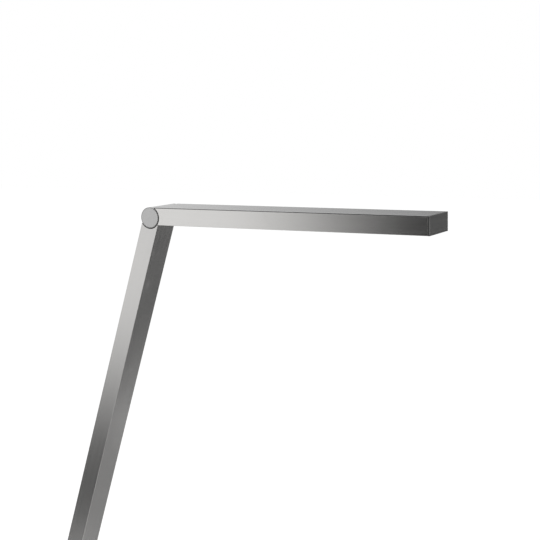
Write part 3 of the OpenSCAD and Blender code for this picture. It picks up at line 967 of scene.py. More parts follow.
class Workshop:
    """Makes the dressed pieces and gives them their body, node and finish."""

    SHARP_FROM = math.radians(32)
    FULL_WEIGHT = 100

    def __init__(self) -> None:
        """Starts with no materials made."""
        self._made: dict[str, bpy.types.Material] = {}

    def finish(self, finish: Finish) -> bpy.types.Material:
        """Builds a finish once and gives it again later.

        Args:
            finish: one of the finish classes.

        Returns:
            The material.
        """
        if finish.name not in self._made:
            self._made[finish.name] = finish.material()
        return self._made[finish.name]

    def piece(self, name: str, mesh: bpy.types.Mesh, finish: Finish) -> bpy.types.Object:
        """Links a mesh into the scene as an object at the origin.

        Args:
            name: the piece's name.
            mesh: the mesh, with its place in its vertices.
            finish: the finish of the whole piece.

        Returns:
            The object.
        """
        mesh.name = name
        mesh.materials.clear()
        mesh.materials.append(self.finish(finish))
        return linked(name, mesh)

    def settle(self, made: bpy.types.Object, body: str, slot: str, nodes: tuple[str, ...] = ()) -> None:
        """Rides a piece on its body and hides the nodes that it stands for.

        Args:
            made: the finished piece.
            body: the body that it moves with.
            slot: the record's material slot; not used.
            nodes: the nodes that it replaces.
        """
        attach(made, body)
        if nodes:
            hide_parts(*nodes)
        LOG.info("%s: %d faces, on %s", made.name, len(made.data.polygons), body)

    def solid(self, name: str, base: Mesh, steps: Steps, place: Matrix, finish: Finish) -> bpy.types.Object:
        """Makes a piece from a base shape that is cut and added to.

        Args:
            name: the piece's name.
            base: the base shape in millimetres.
            steps: the cuts and joins in order, in the same frame.
            place: where that frame goes.
            finish: the piece's finish.

        Returns:
            The new object.
        """
        made = self.piece(name, as_mesh(base, name), finish)
        tools = []
        for work, shape in steps:
            tool = linked("tool", as_mesh(shape, "tool"))
            tools.append(tool)
            change = made.modifiers.new("Work", "BOOLEAN")
            change.operation = work.value
            change.solver = "MANIFOLD"
            change.object = tool
        self.plain(made)
        for tool in tools:
            tool_mesh = tool.data
            bpy.data.objects.remove(tool)
            bpy.data.meshes.remove(tool_mesh)
        made.data.transform(place)
        self.shade(made)
        return made

    @staticmethod
    def plain(made: bpy.types.Object) -> None:
        """Turns an object's modifiers into its own mesh.

        Args:
            made: the object.
        """
        depsgraph = bpy.context.evaluated_depsgraph_get()
        depsgraph.update()
        mesh = bpy.data.meshes.new_from_object(
            made.evaluated_get(depsgraph), preserve_all_data_layers=True, depsgraph=depsgraph
        )
        old = made.data
        made.modifiers.clear()
        made.data = mesh
        mesh.name = made.name
        bpy.data.meshes.remove(old)

    def shade(self, made: bpy.types.Object) -> None:
        """Shades an object smooth over its roundings and flat over its large faces.

        Args:
            made: the object.
        """
        for face in made.data.polygons:
            face.use_smooth = True
        made.data.set_sharp_from_angle(angle=self.SHARP_FROM)
        weights = made.modifiers.new("Normals", "WEIGHTED_NORMAL")
        weights.mode = "FACE_AREA"
        weights.weight = self.FULL_WEIGHT
        weights.keep_sharp = True
        self.plain(made)


# ---------------------------------------------------------------- geometry nodes


# What goes into a node: another node's first output, a socket or a number.
Feed = bpy.types.Node | bpy.types.NodeSocket | float


class Recipe:
    """A Geometry Nodes tree with named inputs, run on one mesh and then made plain."""

    def __init__(self, name: str, inputs: dict[str, float | int | Vector]) -> None:
        """Starts the tree.

        Args:
            name: the tree's name.
            inputs: the named sizes and their values.
        """
        self.tree = bpy.data.node_groups.new(name, "GeometryNodeTree")
        self.inputs = inputs
        self.tree.interface.new_socket("Geometry", in_out="INPUT", socket_type="NodeSocketGeometry")
        kinds = {float: "NodeSocketFloat", int: "NodeSocketInt", Vector: "NodeSocketVector"}
        for key, value in inputs.items():
            self.tree.interface.new_socket(key, in_out="INPUT", socket_type=kinds[type(value)])
        self.tree.interface.new_socket("Geometry", in_out="OUTPUT", socket_type="NodeSocketGeometry")
        self.entry = self.tree.nodes.new("NodeGroupInput")

    def given(self, name: str) -> bpy.types.NodeSocket:
        """The socket of a named input."""
        return self.entry.outputs[name]

    def add(self, kind: str, settings: dict | None = None, sockets: dict | None = None) -> bpy.types.Node:
        """Adds a node, with its properties first and then its values or links.

        Args:
            kind: the node's type.
            settings: the node's own properties.
            sockets: values, sockets or nodes by input name or index.

        Returns:
            The node.
        """
        made = self.tree.nodes.new(kind)
        for key, value in (settings or {}).items():
            setattr(made, key, value)
        for key, value in (sockets or {}).items():
            if isinstance(value, bpy.types.Node):
                self.tree.links.new(value.outputs[0], made.inputs[key])
            elif isinstance(value, bpy.types.NodeSocket):
                self.tree.links.new(value, made.inputs[key])
            else:
                made.inputs[key].default_value = value
        return made

    def maths(self, operation: str, a: Feed, b: Feed) -> bpy.types.Node:
        """Adds a Math node on two sockets, nodes or numbers."""
        return self.add("ShaderNodeMath", {"operation": operation}, {0: a, 1: b})

    def joined(self, *parts: Feed) -> bpy.types.Node:
        """Joins several geometries.

        Args:
            *parts: the nodes or sockets that give them.

        Returns:
            The joining node.
        """
        node = self.tree.nodes.new("GeometryNodeJoinGeometry")
        for part in parts:
            socket = part.outputs[0] if isinstance(part, bpy.types.Node) else part
            self.tree.links.new(socket, node.inputs[0])
        return node

    def close(self, last: bpy.types.Node, material: bpy.types.Material) -> None:
        """Ends the tree in Realize Instances and Set Material.

        Args:
            last: the node that gives the whole shape.
            material: the shape's material.
        """
        plain = self.add("GeometryNodeRealizeInstances", None, {0: last})
        painted = self.add("GeometryNodeSetMaterial", None, {"Geometry": plain, "Material": material})
        exit_node = self.tree.nodes.new("NodeGroupOutput")
        self.tree.links.new(painted.outputs[0], exit_node.inputs[0])

    def run(self, shop: Workshop, name: str, mesh: bpy.types.Mesh, finish: Finish) -> bpy.types.Object:
        """Runs the tree on a mesh.

        Args:
            shop: the workshop that makes pieces.
            name: the piece's name.
            mesh: the mesh that goes in.
            finish: the piece's finish.

        Returns:
            The object, with a plain mesh and no modifier.
        """
        made = shop.piece(name, mesh, finish)
        modifier = made.modifiers.new("Recipe", "NODES")
        modifier.node_group = self.tree
        for item in self.tree.interface.items_tree:
            if item.item_type == "SOCKET" and item.in_out == "INPUT" and item.name in self.inputs:
                value = self.inputs[item.name]
                modifier[item.identifier] = tuple(value) if isinstance(value, Vector) else value
        shop.plain(made)
        shop.shade(made)
        return made


@dataclass(frozen=True)
class SunkScrew:
    """Sizes of a countersunk screw with a hexagon socket, in millimetres."""

    shank: float
    head: float
    length: float
    seed: int
    rim_share: float = 0.09
    socket_share: float = 0.36
    socket_depth_share: float = 0.85
    sides: int = 48
    shank_sides: int = 32
    weld: float = 2e-6

    def tree(self, aim: Vector, material: bpy.types.Material) -> Recipe:
        """Builds the tree that puts one screw on each point.

        Args:
            aim: the direction that the screws point in.
            material: the screws' material.

        Returns:
            The tree, ready to run.
        """
        depth = (self.head - self.shank) / 2
        recipe = Recipe(
            "Sunk screws",
            {
                "Shank Radius": self.shank / 2 * MM,
                "Head Radius": self.head / 2 * MM,
                "Head Depth": depth * MM,
                "Rim Depth": depth * self.rim_share * MM,
                "Length": self.length * MM,
                "Socket Radius": self.shank * self.socket_share * MM,
                "Socket Depth": depth * self.socket_depth_share * MM,
                "Aim": aim,
                "Seed": self.seed,
            },
        )
        given = recipe.given
        mouth = recipe.maths("SUBTRACT", given("Head Radius"), given("Rim Depth"))
        rim = self._cone(recipe, mouth, given("Head Radius"), given("Rim Depth"))
        flank_depth = recipe.maths("SUBTRACT", given("Head Depth"), given("Rim Depth"))
        flank = self._cone(recipe, given("Head Radius"), given("Shank Radius"), flank_depth)
        flank_up = self._raised(recipe, flank, given("Rim Depth"))
        hexagon = recipe.add(
            "GeometryNodeMeshCylinder",
            None,
            {
                "Vertices": 6,
                "Radius": given("Socket Radius"),
                "Depth": recipe.maths("MULTIPLY", given("Socket Depth"), 2.0),
            },
        )
        drilled = [self._drilled(recipe, part, hexagon) for part in (rim, flank_up)]
        rod_length = recipe.maths("SUBTRACT", given("Length"), given("Head Depth"))
        rod = recipe.add(
            "GeometryNodeMeshCylinder",
            None,
            {"Vertices": self.shank_sides, "Radius": given("Shank Radius"), "Depth": rod_length},
        )
        half = recipe.maths("MULTIPLY", rod_length, 0.5)
        rod_up = self._raised(recipe, rod, recipe.maths("ADD", given("Head Depth"), half))
        screw = recipe.joined(*drilled, rod_up)
        aimed = recipe.add("FunctionNodeAlignRotationToVector", {"axis": "Z"}, {"Vector": given("Aim")})
        spin = recipe.add(
            "FunctionNodeRandomValue",
            {"data_type": "FLOAT"},
            {2: 0.0, 3: 2 * math.pi, "Seed": given("Seed")},
        )
        about = recipe.add("ShaderNodeCombineXYZ", None, {2: spin.outputs[1]})
        euler = recipe.add("FunctionNodeEulerToRotation", None, {0: about})
        spun = recipe.add("FunctionNodeRotateRotation", {"rotation_space": "LOCAL"}, {0: aimed, 1: euler})
        fixed = recipe.add(
            "GeometryNodeInstanceOnPoints",
            None,
            {"Points": given("Geometry"), "Instance": screw, "Rotation": spun},
        )
        recipe.close(fixed, material)
        return recipe

    def _cone(self, recipe: Recipe, low: Feed, high: Feed, depth: Feed) -> bpy.types.Node:
        """Adds a closed cone from one radius to another."""
        sockets = {"Vertices": self.sides, "Radius Bottom": low, "Radius Top": high, "Depth": depth}
        return recipe.add("GeometryNodeMeshCone", None, sockets)

    @staticmethod
    def _raised(recipe: Recipe, part: bpy.types.Node, height: Feed) -> bpy.types.Node:
        """Lifts a part along the screw."""
        lift = recipe.add("ShaderNodeCombineXYZ", None, {2: height})
        return recipe.add("GeometryNodeTransform", None, {"Geometry": part, "Translation": lift})

    def _drilled(self, recipe: Recipe, part: bpy.types.Node, tool: bpy.types.Node) -> bpy.types.Node:
        """Cuts a tool's shape out of a part.

        Args:
            recipe: the tree.
            part: the part.
            tool: the tool.

        Returns:
            The node that gives the cut part.
        """
        hole = recipe.add("GeometryNodeMeshBoolean", {"operation": "DIFFERENCE", "solver": "MANIFOLD"})
        recipe.tree.links.new(part.outputs[0], hole.inputs["Mesh 1"])
        recipe.tree.links.new(tool.outputs[0], hole.inputs["Mesh 2"])
        return recipe.add("GeometryNodeMergeByDistance", None, {"Geometry": hole, "Distance": self.weld})

    def drive(self, shop: Workshop, node: str, body: str, spots: list[Vector], aim: Vector) -> None:
        """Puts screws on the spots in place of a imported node.

        Args:
            shop: the workshop that makes pieces.
            node: the screws' node.
            body: the body that they move with.
            spots: the middle of each head's flat face, in metres.
            aim: the direction that they point in.
        """
        mesh = bpy.data.meshes.new(f"{node}_spots")
        mesh.from_pydata([tuple(spot) for spot in spots], [], [])
        made = self.tree(aim, shop.finish(STEEL)).run(shop, f"{node}_steel", mesh, STEEL)
        shop.settle(made, body, "screw_steel", (node,))


@dataclass(frozen=True)
class DimpleField:
    """Rows of shallow lenses under the diffuser, in metres."""

    low: Vector
    high: Vector
    pitch: float = 0.004
    radius: float = 0.00165
    height: float = 0.0003
    segments: int = 10
    rings: int = 6

    def tree(self, material: bpy.types.Material) -> Recipe:
        """Builds the tree that adds the lenses to the plate.

        Args:
            material: the plate's material.

        Returns:
            The tree, ready to run.
        """
        across_x = self.high.x - self.low.x
        across_y = self.high.y - self.low.y
        centre = (self.low + self.high) / 2
        recipe = Recipe(
            "Lens field",
            {
                "Length": across_x,
                "Width": across_y,
                "Columns": int(across_x / self.pitch) + 1,
                "Rows": int(across_y / self.pitch) + 1,
                "Lens Size": Vector((self.radius, self.radius, self.height)),
                "Centre": Vector((centre.x, centre.y, self.low.z)),
            },
        )
        given = recipe.given
        grid = recipe.add(
            "GeometryNodeMeshGrid",
            None,
            {
                "Size X": given("Length"),
                "Size Y": given("Width"),
                "Vertices X": given("Columns"),
                "Vertices Y": given("Rows"),
            },
        )
        laid = recipe.add("GeometryNodeTransform", None, {"Geometry": grid, "Translation": given("Centre")})
        sizes = {"Segments": self.segments, "Rings": self.rings, "Radius": 1.0}
        ball = recipe.add("GeometryNodeMeshUVSphere", None, sizes)
        lens = recipe.add("GeometryNodeTransform", None, {"Geometry": ball, "Scale": given("Lens Size")})
        lenses = recipe.add("GeometryNodeInstanceOnPoints", None, {"Points": laid, "Instance": lens})
        both = recipe.joined(given("Geometry"), lenses)
        recipe.close(both, material)
        return recipe


@dataclass(frozen=True)
class RibbedCollar:
    """Grip ribs round a gland's collar, in metres."""

    centre: Vector
    radius: float
    rib: Vector
    count: int = 18

    def tree(self, material: bpy.types.Material) -> Recipe:
        """Builds the tree that adds the ribs to the gland.

        Args:
            material: the gland's material.

        Returns:
            The tree, ready to run.
        """
        recipe = Recipe(
            "Collar ribs",
            {"Count": self.count, "Radius": self.radius, "Rib Size": self.rib, "Centre": self.centre},
        )
        given = recipe.given
        sizes = {"Vertices": given("Count"), "Radius": given("Radius")}
        circle = recipe.add("GeometryNodeMeshCircle", None, sizes)
        spot = recipe.add("GeometryNodeInputPosition")
        aimed = recipe.add("FunctionNodeAlignRotationToVector", {"axis": "X"}, {"Vector": spot})
        block = recipe.add("GeometryNodeMeshCube", None, {"Size": given("Rib Size")})
        ribs = recipe.add(
            "GeometryNodeInstanceOnPoints",
            None,
            {"Points": circle, "Instance": block, "Rotation": aimed},
        )
        upright = recipe.add(
            "GeometryNodeTransform",
            None,
            {"Geometry": ribs, "Rotation": (0.0, math.pi / 2, 0.0), "Translation": given("Centre")},
        )
        both = recipe.joined(given("Geometry"), upright)
        recipe.close(both, material)
        return recipe


# ---------------------------------------------------------------- sub-assemblies

STEEL = ScrewSteel("screw_steel")
DARK_METAL = MilledAluminium("dark_aluminium")
HINGE = HingeMetal("hinge_metal")
HEAD_METAL = BrushedAluminium(
    "head_aluminium",
    Grain.ALONG_HEAD,
    light=(0.68, 0.672, 0.66),
    dark=(0.62, 0.613, 0.602),
    roughness=0.19,
    spread=0.04,
    # The seam band paints shade on the top of the channel's wall, inside the shadow gap under the cover.
    seam=(0.0159, 0.02),
)
COVER_METAL = BrushedAluminium(
    "cover_aluminium",
    Grain.ALONG_HEAD,
    light=(0.56, 0.56, 0.56),
    dark=(0.51, 0.51, 0.51),
    roughness=0.26,
    # The seam band paints shade on the cover's rebate and the lower part of its edge.
    seam=(0.01, 0.0171),
)
# Set darker than the channel's metal of the same alloy: a painted shade on the cap's end face and edges.
SHADED_CAP_METAL = BrushedAluminium(
    "cap_aluminium_shaded",
    Grain.ACROSS_HEAD,
    light=(0.53, 0.527, 0.52),
    dark=(0.48, 0.477, 0.47),
    roughness=0.2,
)
STEM_METAL = BrushedAluminium(
    "stem_aluminium",
    Grain.ALONG_STEM,
    light=(0.61, 0.602, 0.592),
    dark=(0.56, 0.554, 0.546),
    roughness=0.24,
    spread=0.04,
    relief=0.07,
)
DISC_METAL = BrushedAluminium(
    "disc_aluminium",
    Grain.ROUND_HINGE,
    light=(0.54, 0.54, 0.535),
    dark=(0.47, 0.47, 0.47),
    roughness=0.34,
    # The groove band paints shade in the turned groove round the disc's rim.
    groove=(0.0165, 0.0171),
)
BUTTON_METAL = BrushedAluminium(
    "button_aluminium",
    Grain.ALONG_HEAD,
    light=(0.5, 0.5, 0.5),
    dark=(0.4, 0.4, 0.4),
    roughness=0.32,
)
RUBBER = Moulded("black_rubber", (0.035, 0.035, 0.037), roughness=0.7, grain=900.0, relief=0.35)
SHEATH = Moulded("lead_sheath", (0.03, 0.03, 0.032), roughness=0.45)
FOAM = Moulded("grey_foam", (0.2, 0.2, 0.2), roughness=0.9, grain=500.0, relief=0.8, dust=0.0)
LINING = Moulded("friction_lining", (0.05, 0.05, 0.05), roughness=0.6, grain=2200.0)
WHITE = Moulded("white_plastic", (0.82, 0.82, 0.8), roughness=0.42, dust=0.02)
BLACK = Moulded("black_plastic", (0.045, 0.045, 0.05), roughness=0.45)
RESIST_WHITE = Moulded("board_white", (0.88, 0.88, 0.86), roughness=0.3, grain=3000.0)
RESIST_GREEN = Moulded("board_green", (0.03, 0.2, 0.09), roughness=0.3, grain=3000.0)
PHOSPHOR = Moulded("chip_yellow", (0.88, 0.74, 0.25), roughness=0.25, grain=5000.0)
OPAL = Opal("opal_plastic")
BRONZE = SinteredBronze("sintered_bronze")
COAT = PowderCoat("silver_powder_coat")

SMALL_SCREW = SunkScrew(shank=3.0, head=5.6, length=8.0, seed=7)
STEM_SCREW = SunkScrew(shank=5.0, head=9.0, length=10.0, seed=5)
FOOT_SCREW = SunkScrew(shank=8.0, head=16.0, length=28.0, seed=3)

# Countersunk holes: diameter, diameter of the mouth, depth.
SMALL_SINK = (3.2, 5.8, 8.1)
STEM_SINK = (5.2, 9.2, 10.1)
FOOT_SINK = (8.2, 16.2, 28.1)

UP = Vector((0, 0, 1))


@dataclass
class Base:
    """Base plate, pad, foot screws and the cord's gland, in millimetres."""

    shop: Workshop
    half: Point = (210.0, 120.0)
    corner: float = 10.0
    plate: Point = (2.0, 14.0)
    plate_ease: float = 1.2
    under_ease: float = 0.5
    pad_inset: float = 4.0
    pad_ease: float = 0.3
    pad_hole: float = 9.0
    screw_at: Point = (-127.354, 14.0)
    duct: tuple[Point, float] = ((-196.1, -122.5), 3.8)
    duct_top: float = 11.0
    lead_span: Point = (-1293.0, -1269.0)
    gland_bore: float = 3.3
    gland_body: float = 4.5
    gland_length: float = 13.9
    gland_play: float = 0.1
    gland_hole: float = 14.0
    gland_lip: tuple[Point, ...] = ((0.0, 0.6), (0.2, 0.15), (0.6, 0.0))
    gland_ease: float = 0.4
    collar: float = 5.5
    collar_depth: float = 2.5
    collar_ease: float = 0.5
    rib_stand: float = 0.45
    rib_sink: float = 0.1
    rib: Point = (0.9, 0.8)
    rib_length_share: float = 0.7

    def build(self) -> None:
        """Makes every piece of the base."""
        self._plate()
        self._pad()
        x, y = self.screw_at
        spots = [Vector((x, side * y, self.plate[0])) * MM for side in (-1, 1)]
        FOOT_SCREW.drive(self.shop, "foot_screws", "stand", spots, UP)
        self._gland()

    def _screw_places(self) -> tuple[Matrix, Matrix]:
        """Places of the two foot screws' heads."""
        x, y = self.screw_at
        return at(x, -y, self.plate[0]), at(x, y, self.plate[0])

    def _plate(self) -> None:
        """Makes the plate with its holes and the duct in its underside."""
        low, high = self.plate
        x, y = self.half
        outline = rounded_outline((-x, -y), (x, y), self.corner, 10)
        base = prism(outline, eased_stations(low, high, self.under_ease, self.plate_ease))
        (duct_start, duct_end), duct_half = self.duct
        gland_place = at(-x, 0, (low + high) / 2) @ ALONG_X_BAR
        gland_hole = bar(self.gland_body + self.gland_play, -CUTTER_PAST, self.gland_hole)
        duct = box((duct_start, -duct_half, low - CUTTER_PAST), (duct_end, duct_half, self.duct_top))
        steps = [
            (Work.CUT, placed(sink(*FOOT_SINK), *self._screw_places())),
            (Work.CUT, placed(gland_hole, gland_place)),
            (Work.CUT, duct),
            (Work.CUT, placed(bar(LEAD_HOLE, *self.lead_span), FLOOR_TO_STEM @ at(LEAD_X))),
        ]
        made = self.shop.solid("base_plate_coated", base, steps, TO_METRES, COAT)
        self.shop.settle(made, "stand", "base_coat", ("base_plate",))

    def _pad(self) -> None:
        """Makes the rubber pad with its two holes."""
        x, y = (side - self.pad_inset for side in self.half)
        outline = rounded_outline((-x, -y), (x, y), self.corner - self.pad_inset / 2, 8)
        thick = self.plate[0]
        base = prism(outline, eased_stations(0.0, thick, self.pad_ease, 0.0))
        holes = placed(bar(self.pad_hole, -2 * thick, thick), *self._screw_places())
        made = self.shop.solid("base_pad_rubber", base, [(Work.CUT, holes)], TO_METRES, RUBBER)
        self.shop.settle(made, "stand", "black_rubber", ("base_pad",))

    def _gland(self) -> None:
        """Makes the ribbed gland at the plate's rear edge."""
        rim = self.collar - self.rib_stand
        end = self.collar_depth + self.gland_length
        profile = [(self.gland_bore, end)]
        profile += [(self.gland_bore + wider, depth) for wider, depth in self.gland_lip]
        profile += quarter(rim, 0.0, self.collar_ease, Corner.OUT_THEN_UP)
        profile += [(rim, self.collar_depth), (self.gland_body, self.collar_depth)]
        profile += quarter(self.gland_body, end, self.gland_ease, Corner.UP_THEN_IN, 2)
        profile.append((self.gland_bore, end))
        start = Vector((-self.half[0] - self.collar_depth, 0, sum(self.plate) / 2))
        shape = turned(profile, 64)
        shape.transform(TO_METRES @ at(*start) @ ALONG_X_BAR)
        mesh = as_mesh(shape, "gland_core")
        middle = (start + Vector((self.collar_depth / 2, 0, 0))) * MM
        rib = Vector((*self.rib, self.collar_depth * self.rib_length_share)) * MM
        collar = RibbedCollar(middle, (rim - self.rib_sink) * MM, rib)
        made = collar.tree(self.shop.finish(RUBBER)).run(self.shop, "cord_gland_ribbed", mesh, RUBBER)
        self.shop.settle(made, "stand", "black_rubber", ("cord_gland",))


@dataclass
class Stem:
    """Leaning tube with its screws, in millimetres from the hinge axis, z along the stem."""

    shop: Workshop
    low: Point = (STEM_FACE, -25.5)
    high: Point = (19.2, 25.5)
    wall: float = 2.0
    corner: float = 0.3
    length: float = 1330.0
    plate_top: float = -1216.0
    set_screws: Point = (-1220.8, -1245.8)
    set_hole: float = 2.6
    set_depth: float = 6.1

    def build(self) -> None:
        """Makes every piece of the stem."""
        (x0, y0), (x1, y1) = self.low, self.high
        base = prism(rounded_outline(self.low, self.high, self.corner), [(-self.length, 0.0), (0.0, 0.0)])
        wall, deep = self.wall, -1.5 * self.length
        under = box((-3 * CUTTER_FAR, -CUTTER_FAR, deep), (3 * CUTTER_FAR, CUTTER_FAR, self.plate_top))
        set_hole = bar(self.set_hole, -CUTTER_PAST, self.set_depth, 0.0, 48)
        steps = [
            (Work.CUT, box((x0 + wall, y0 + wall, deep), (x1 - wall, y1 - wall, CUTTER_FAR))),
            (Work.CUT, ring_cut(y0, y1)),
            (Work.CUT, over_stem()),
            (Work.CUT, placed(under, LEVEL)),
            (Work.CUT, placed(sink(*STEM_SINK), *on_stem(STEM_SCREWS))),
            (Work.CUT, placed(set_hole, *on_stem(self.set_screws))),
        ]
        tube = self.shop.solid("stem_tube_brushed", base, steps, STEM_FRAME, STEM_METAL)
        self.shop.settle(tube, "stand", "silver_aluminium", ("stem_tube",))
        aim = STEM_FRAME.to_3x3() @ Vector((1, 0, 0))
        spots = [STEM_FRAME @ Vector((x0, 0, z)) for z in STEM_SCREWS]
        STEM_SCREW.drive(self.shop, "stem_block_screws", "stand", spots, aim.normalized())


@dataclass
class Hinge:
    """Barrel discs with a turned groove, and the blocks that carry the knuckles, in millimetres."""

    shop: Workshop
    radius: float = 17.6
    disc: float = 3.0
    disc_ease: float = 0.4
    groove: Point = (16.55, 17.1)
    groove_depth: float = 0.5
    groove_ease: Point = (0.05, 0.06)
    knuckle_ease: float = 0.3
    stub_ease: float = 0.2
    near_stub: Point = (7.9, 2.4)
    far_stub: Point = (9.14, 2.4)
    far_face: float = 75.0
    sides: int = 160
    head_knuckles: tuple[Point, Point] = ((-34.1, -24.1), (13.5, 34.1))
    stem_knuckle: Point = (-11.1, 24.5)
    inlet: float = 0.01
    head_block: Point = (50.0, 35.0)
    neck_end: float = 21.4
    bores: tuple[tuple[float, Point], ...] = (
        (5.05, (-40.0, 40.0)),
        (8.1, (-36.0, -28.1)),
        (9.34, (23.7, 36.0)),
    )
    head_lead: Point = (25.0, 75.0)
    stem_block: tuple[Point, Point] = ((-10.7, -23.4), (17.1, 23.4))
    stem_block_low: float = -80.0
    stem_neck: tuple[Point, float] = ((-25.0, 0.0), 10.3)
    bush_bore: float = 6.6
    stem_lead: Point = (-81.0, -29.5)
    block_ease: float = 0.3

    def build(self) -> None:
        """Makes every piece of the hinge."""
        self._disc("near_disc", 0.0, 1, self.near_stub)
        self._disc("far_disc", self.far_face, -1, self.far_stub)
        self._head_block()
        self._stem_block()

    def _disc(self, node: str, face_y: float, inward: int, stub: Point) -> None:
        """Makes one turned disc with an eased rim and a stub behind it.

        Args:
            node: the node that it replaces.
            face_y: where its outer face lies.
            inward: 1 if the disc goes towards +Y from there, or -1.
            stub: the stub's radius and length.
        """
        end = self.disc + stub[1]
        low, high = self.groove
        side, drop = self.groove_ease
        profile = [(0.0, 0.0), (self.radius * 0.5, 0.0), (low - side, 0.0), (low, drop)]
        profile += [(low, self.groove_depth), (high, self.groove_depth), (high, drop), (high + side, 0.0)]
        profile += quarter(self.radius, 0.0, self.disc_ease, Corner.OUT_THEN_UP)
        profile += quarter(self.radius, self.disc, self.stub_ease, Corner.UP_THEN_IN, 2)
        profile += [(stub[0], self.disc)] + quarter(stub[0], end, self.stub_ease, Corner.UP_THEN_IN, 2)
        profile += [(0.0, end)]
        turn = Matrix.Rotation(-math.pi / 2 * inward, 4, "X")
        place = HINGE_FRAME @ at(0, face_y) @ turn
        made = self.shop.solid(f"{node}_turned", turned(profile, self.sides), [], place, DISC_METAL)
        self.shop.settle(made, "head", "silver_aluminium", (node,))

    def _knuckle(self, low: float, high: float) -> Mesh:
        """Makes a knuckle about +Y with eased rims.

        Args:
            low: where it starts along y.
            high: where it ends along y.

        Returns:
            The closed shape.
        """
        profile = [(0.0, low)] + quarter(self.radius, low, self.knuckle_ease, Corner.OUT_THEN_UP)
        profile += quarter(self.radius, high, self.knuckle_ease, Corner.UP_THEN_IN) + [(0.0, high)]
        return placed(turned(profile, self.sides), ALONG_Y)

    def _head_block(self) -> None:
        """Makes the head's block with its two knuckles."""
        length, half = self.head_block
        steps: Steps = [(Work.CUT, ring_cut(-2 * half, 2 * half, 0.0))]
        for low, high in self.head_knuckles:
            neck = box((0, low + self.inlet, HEAD_FLOOR), (self.neck_end, high - self.inlet, COVER_SEAT))
            steps += [(Work.ADD, self._knuckle(low, high)), (Work.ADD, neck)]
        steps += [(Work.CUT, placed(bar(radius, *span), ALONG_Y)) for radius, span in self.bores]
        steps += [
            (Work.CUT, placed(bar(LEAD_HOLE, *self.head_lead, 0.0, 48), ALONG_X_BAR)),
            (Work.CUT, placed(sink(*SMALL_SINK), *under_head(BLOCK_SCREWS))),
        ]
        base = box((0, -half, HEAD_FLOOR), (length, half, COVER_SEAT), self.block_ease)
        made = self.shop.solid("head_hinge_block_milled", base, steps, HEAD_FRAME, HINGE)
        self.shop.settle(made, "head", "dark_aluminium", ("head_hinge_block",))

    def _stem_block(self) -> None:
        """Makes the stem's block with its neck and wide knuckle."""
        low, high = self.stem_knuckle
        (x0, y0), (x1, y1) = self.stem_block
        (neck_low, neck_high), neck_x = self.stem_neck
        steps = [
            (Work.CUT, ring_cut(-3 * y1, 3 * y1, 0.0)),
            (Work.CUT, over_stem()),
            (Work.ADD, box((x0, low + self.inlet, neck_low), (neck_x, y1, neck_high))),
            (Work.ADD, self._knuckle(low, high)),
            (Work.CUT, placed(bar(self.bush_bore, low - CUTTER_PAST, high + CUTTER_PAST), ALONG_Y)),
            (Work.CUT, placed(bar(LEAD_HOLE, *self.stem_lead, 0.0, 48), at(LEAD_X))),
            (Work.CUT, placed(sink(*STEM_SINK), *on_stem(STEM_SCREWS))),
        ]
        base = box((x0, y0, self.stem_block_low), (x1, y1, 0), self.block_ease)
        made = self.shop.solid("stem_hinge_block_milled", base, steps, STEM_FRAME, HINGE)
        self.shop.settle(made, "stand", "dark_aluminium", ("stem_hinge_block",))


